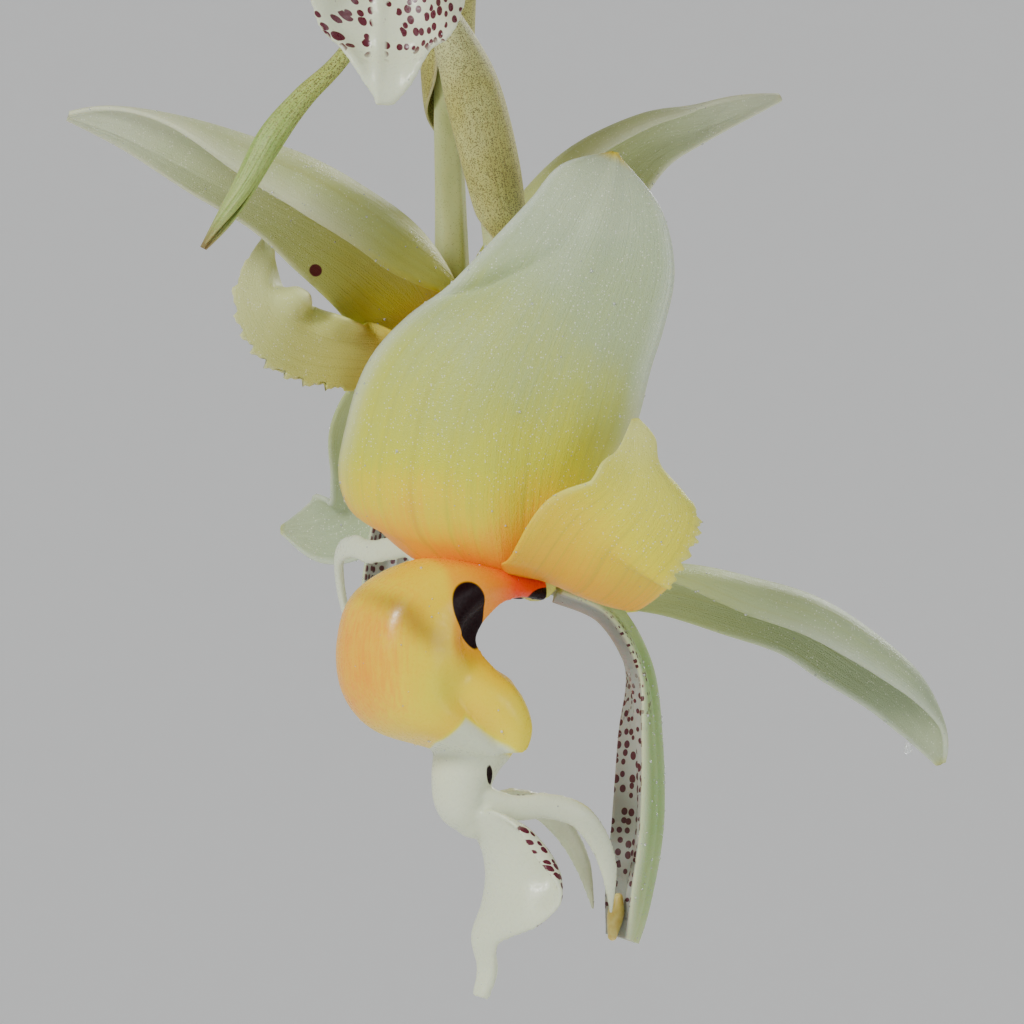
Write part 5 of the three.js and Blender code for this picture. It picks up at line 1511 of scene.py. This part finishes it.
def lip_marks(points, outward, inner):
    """A lip's values per point, in the flower's own millimetres: how pale, its marks and painted shadow."""
    x, y, z = points.T
    side = np.abs(y)
    left_end = -19 + 0.35 * np.maximum(0, 8 - side)
    edge = -21.7 - 0.66 * np.maximum(0, x + 15) - 1.1 * np.maximum(0, -15 - x)
    edge = edge - 5 * np.maximum(0, left_end - x)
    pale = 0.62 - 0.5 * bell(x, -2, 7) * rising(z, -10, -3)
    pale -= 0.2 * rising(x, -18.5, -16.5) * rising(z, -15, -10) * (z > -40)
    pale += 0.14 * bell(x, -20.5, 5) * bell(z, -17, 7) + 0.12 * bell(x, -6, 6) * rising(-z, 14, 20)
    pale -= 0.16 * rising(-x, 24, 30) * rising(-z, 3, 8)
    pale = pale + (1 - pale) * rising(edge - z, -0.8, 1.2)
    a = (x + 14) * 0.95 + (z + 6.5) * 0.3
    b = (z + 6.5) * 0.95 - (x + 14) * 0.3
    eye = 1.6 * (1 - np.sqrt((a / (2.9 + 0.2 * b)) ** 2 + (b / 5.6) ** 2))
    eye = np.where(side > 3.5, eye, -1)
    bar = 1.2 * (1 - np.sqrt(((x - 1) / 4.4) ** 2 + ((z + 4) / 1.8) ** 2))
    eye = np.maximum(eye, np.where(side > 3, bar, -1))
    hollow = 0.6 * (1 - np.sqrt(((x + 8.8 + 0.25 * (z + 31)) / 0.7) ** 2 + ((z + 31.2) / 1.8) ** 2))
    eye = np.maximum(eye, hollow)
    # Painted shadow: an olive-brown patch on the upper left of the boat, where the shade inside shows through
    # the thin wall.
    smudge = bell(x + 0.8 * z, -29.5, 2.8) * rising(-z, 1, 5) * rising(z, -14, -8) * (x < -16)
    freckled = inner * rising(-z, 37, 39.5) * rising(z, -60, -57)
    under_horn = rising(-np.sign(y) * outward[:, 1], 0.1, 0.5) * bell(x, -1, 3.5) * (side > 4) * (z < -35)
    freckled = np.maximum(freckled, under_horn)
    streaked = rising(-x, 20, 27) * rising(z, -26, -20)
    return dict(pale=pale, eye=eye, smudge=smudge, freckled=freckled, streaked=streaked)


lip_skin, nodes = finish(
    "lip_skin", Roughness=0.3, Subsurface_Weight=0.1, Subsurface_Scale=0.0015, Specular_IOR_Level=0.5
)
nodes.coat(Subsurface_Radius=(1.0, 0.7, 0.2))
here = nodes.where()
cloud = nodes.noise(here, 110.0, 4.0)
pale = nodes.sum("ADD", nodes.value_of("pale"), nodes.between(cloud, 0.3, 0.7, -0.03, 0.03))
streaks = nodes.noise(nodes.stretched(here, 1.0, 1.0, 0.12), 1500.0, 3.0, 0.6)
pale = nodes.sum(
    "ADD",
    pale,
    nodes.product(nodes.value_of("streaked"), nodes.between(streaks, 0.3, 0.7, -0.08, 0.05)),
)
flesh = nodes.ramp(
    pale, (0.02, "f44400"), (0.2, "ff8400"), (0.36, "ffa200"), (0.5, "ffbe00"), (0.64, "ffd800"),
    (0.78, "fae81c"), (0.88, "e8e9a0"), (0.97, "dfe6c6"),
)
# The painted shadow seen through the boat's wall, olive brown over the orange.
flesh = nodes.mix(nodes.product(nodes.value_of("smudge"), 0.6), flesh, tint("8c5a08"))
marked = nodes.between(nodes.value_of("eye"), 0.0, 0.12)
flesh = nodes.mix(marked, flesh, tint("1a0307"))
nodes.coat(Specular_IOR_Level=nodes.between(nodes.value_of("eye"), 0.0, 0.12, 0.5, 0.12))
own = nodes.add("SeparateXYZ", Vector=nodes.add("Attribute", {"attribute_name": "own"}).outputs["Vector"])
across = nodes.sum("MULTIPLY_ADD", own.outputs[0], 0.8, own.outputs[1])
laid_flat = nodes.add("CombineXYZ", X=across, Y=own.outputs[2]).outputs[0]
freckles = nodes.effect(spots, Place=laid_flat, Scale=0.72, Size=0.42, Kept=0.85)
freckles = nodes.product(freckles, nodes.value_of("freckled"))
nodes.coat(Base_Color=nodes.mix(freckles, flesh, tint(MAROON)))
papillae = nodes.noise(here, 1500.0, 3.0, 0.55)
nodes.coat(Roughness=nodes.between(papillae, 0.35, 0.65, 0.24, 0.4))
nodes.coat(Normal=nodes.bump(papillae, 0.00003))

for name, flower in FLOWERS.items():
    horns = []
    for side in (HORN_SPLAY[name], -HORN_SPLAY[name]):
        place = np.array([1, side, 1])
        horns.append(rod(np.array(HORN) * place, HORN_RADII, 24, 70, np.array(HORN_FACE) * place))
    neck = rod(NECK, NECK_RADII, 40, 24, [(1, 0, 0)])
    widths = [width * LOBE_SHARES[name] for width in LOBE_WIDTHS[name]]
    lobe = blade(dict(END_LOBE, **even(widths, LOBE_CURLS)), 110, 80)
    keel = rod(np.array(END_LOBE["spine"]) + KEEL_OFF, KEEL_RADII, 12, 60)
    solid = joined(pouch(150, 120), neck, *horns, keel, lobe)
    on_inside = np.zeros(len(solid[0]))
    on_inside[-len(lobe[0]) : -len(lobe[0]) // 2] = 1
    points, faces, outward = fused(solid, LIP_CELLS[name], 6)
    close = np.flatnonzero(points[:, 2] < -34)
    inner = np.zeros(len(points))
    inner[close] = nearest_values(points[close], solid[0], on_inside)
    marks = lip_marks(points, outward, inner)
    marks["own"] = points * SPOT_SHARES[name]
    points = placed(points, flower)
    uvs = np.zeros((sum(len(face) for face in faces), 2))
    shown(name + "_lip_waxy", (points, faces, uvs), lip_skin, [name + "_lip"], "lip", **marks)
    wet[name].append((points, faces, uvs, np.full(len(points), SKIN_DEW)))

# The dew: fine drops on the flowers, thickest along the margins and on the columns, with one that hangs from
# the low flower's top sepal.
dew_tree, grow, given, made = growth("dew_drops", Density=420000.0, Largest=0.0003, Seed=5)
spread = grow.add(
    "GeometryNodeDistributePointsOnFaces",
    Mesh=given.outputs["Geometry"],
    Density=grow.sum(
        "MULTIPLY",
        given.outputs["Density"],
        grow.add("GeometryNodeInputNamedAttribute", Name="dewy").outputs["Attribute"],
    ),
    Seed=given.outputs["Seed"],
)
bead = grow.add("GeometryNodeMeshIcoSphere", Radius=1.0, Subdivisions=1)
scattered = grow.add("GeometryNodeInstanceOnPoints", Points=spread.outputs[0], Instance=bead.outputs[0])
chance = grow.add("FunctionNodeRandomValue", Seed=4)
skewed = grow.sum("POWER", chance.outputs[1], 3.0)
grow.give(
    scattered.inputs["Scale"],
    grow.sum("MULTIPLY", grow.sum("MULTIPLY_ADD", skewed, 0.72, 0.28), given.outputs["Largest"]),
)
real = grow.add("GeometryNodeRealizeInstances", Geometry=scattered.outputs[0])
coated = grow.add("GeometryNodeSetMaterial", Geometry=real.outputs[0], Material=given.outputs["Material"])
grow.give(made.inputs[0], coated.outputs[0])

water, nodes = finish("water", Roughness=0.02, IOR=1.33, Transmission_Weight=0.6)
ripple = nodes.noise(nodes.where(), 800.0, 1.0)
nodes.coat(Base_Color=nodes.ramp(ripple, (0.3, "f6faf8"), (0.7, "ffffff")))

for name, skins in wet.items():
    *parts, dewy = zip(*skins)
    points, faces, uvs = joined(*zip(*parts))
    skin = meshed("wet_skin", (points, faces, uvs), dewy=np.concatenate(dewy))
    dressed(name + "_dew", grown(skin, dew_tree, Material=water), water)
    bpy.data.meshes.remove(skin)
DROP = [(64.0, 24.6, -603.5), (64.05, 24.6, -604.1), (64.05, 24.6, -604.7)]
shown("hanging_drop", rod(DROP, [(0.4, 0.4), (0.68, 0.68), (0.55, 0.55)], 24, 12), water)

# The stage: a pale bowl that curves up all round, so that no edge of it shows behind the piece, lit by three
# soft lamps, with the camera as near and as level as the photographer's.
STAGE_RADIUS = 9000
STAGE_FLOOR_Z = -1900
STAGE_RISE = 5600
stage_skin, nodes = finish("stage_paper", Roughness=1.0, Specular_IOR_Level=0.0, Emission_Strength=0.16)
nodes.coat(Emission_Color=tint("ffffff"))
fibre = nodes.noise(nodes.where(), 30.0, 4.0)
nodes.coat(Base_Color=nodes.ramp(fibre, (0.3, "f5f5f4"), (0.7, "f7f7f6")))
radii = np.linspace(0, STAGE_RADIUS, 60)
bowl = [(max(r, 0.001), STAGE_FLOOR_Z + STAGE_RISE * (r / STAGE_RADIUS) ** 3.2) for r in radii]
points, faces, uvs = lathe(bowl, 96)
mesh = bpy.data.meshes.new("stage_bowl")
mesh.from_pydata((points * MM).tolist(), [], faces)
mesh.shade_smooth()
mesh.materials.append(stage_skin)
stage = linked("stage_bowl", mesh)

LAMPS = [
    ("key", (-1.5, -1.7, 0.7), 0.6, 48.0, (1.0, 1.0, 1.0)),
    ("fill", (1.9, -1.5, -0.4), 1.2, 9.0, (0.96, 0.98, 1.0)),
    ("rim", (1.2, 1.8, 0.7), 0.9, 36.0, (1.0, 1.0, 1.0)),
]
AIM = Vector((0, 0, -0.45))
for name, place, size, power, colour in LAMPS:
    light = bpy.data.lights.new(name, "AREA")
    light.shape = "DISK"
    light.size = size
    light.energy = power
    light.color = colour
    lamp = linked(name, light)
    lamp.location = place
    lamp.rotation_euler = (AIM - Vector(place)).to_track_quat("-Z", "Y").to_euler()
    lamp.visible_camera = False

world = bpy.data.worlds.new("studio")
world.use_nodes = True
world.node_tree.nodes["Background"].inputs["Color"].default_value = (0.94, 0.96, 0.98, 1)
world.node_tree.nodes["Background"].inputs["Strength"].default_value = 0.36
bpy.context.scene.world = world

CAMERA_AWAY = 0.7
PICTURE_WIDTH = 0.16
lens = bpy.data.cameras.new("camera")
lens.sensor_width = 36
lens.lens = lens.sensor_width * CAMERA_AWAY / PICTURE_WIDTH
lens.clip_start = 0.05
lens.clip_end = 40
camera = linked("camera", lens)
camera.location = (0, -CAMERA_AWAY, SPRAY_CENTRE_Z * MM)
camera.rotation_euler = (math.radians(90), 0, 0)
bpy.context.scene.camera = camera
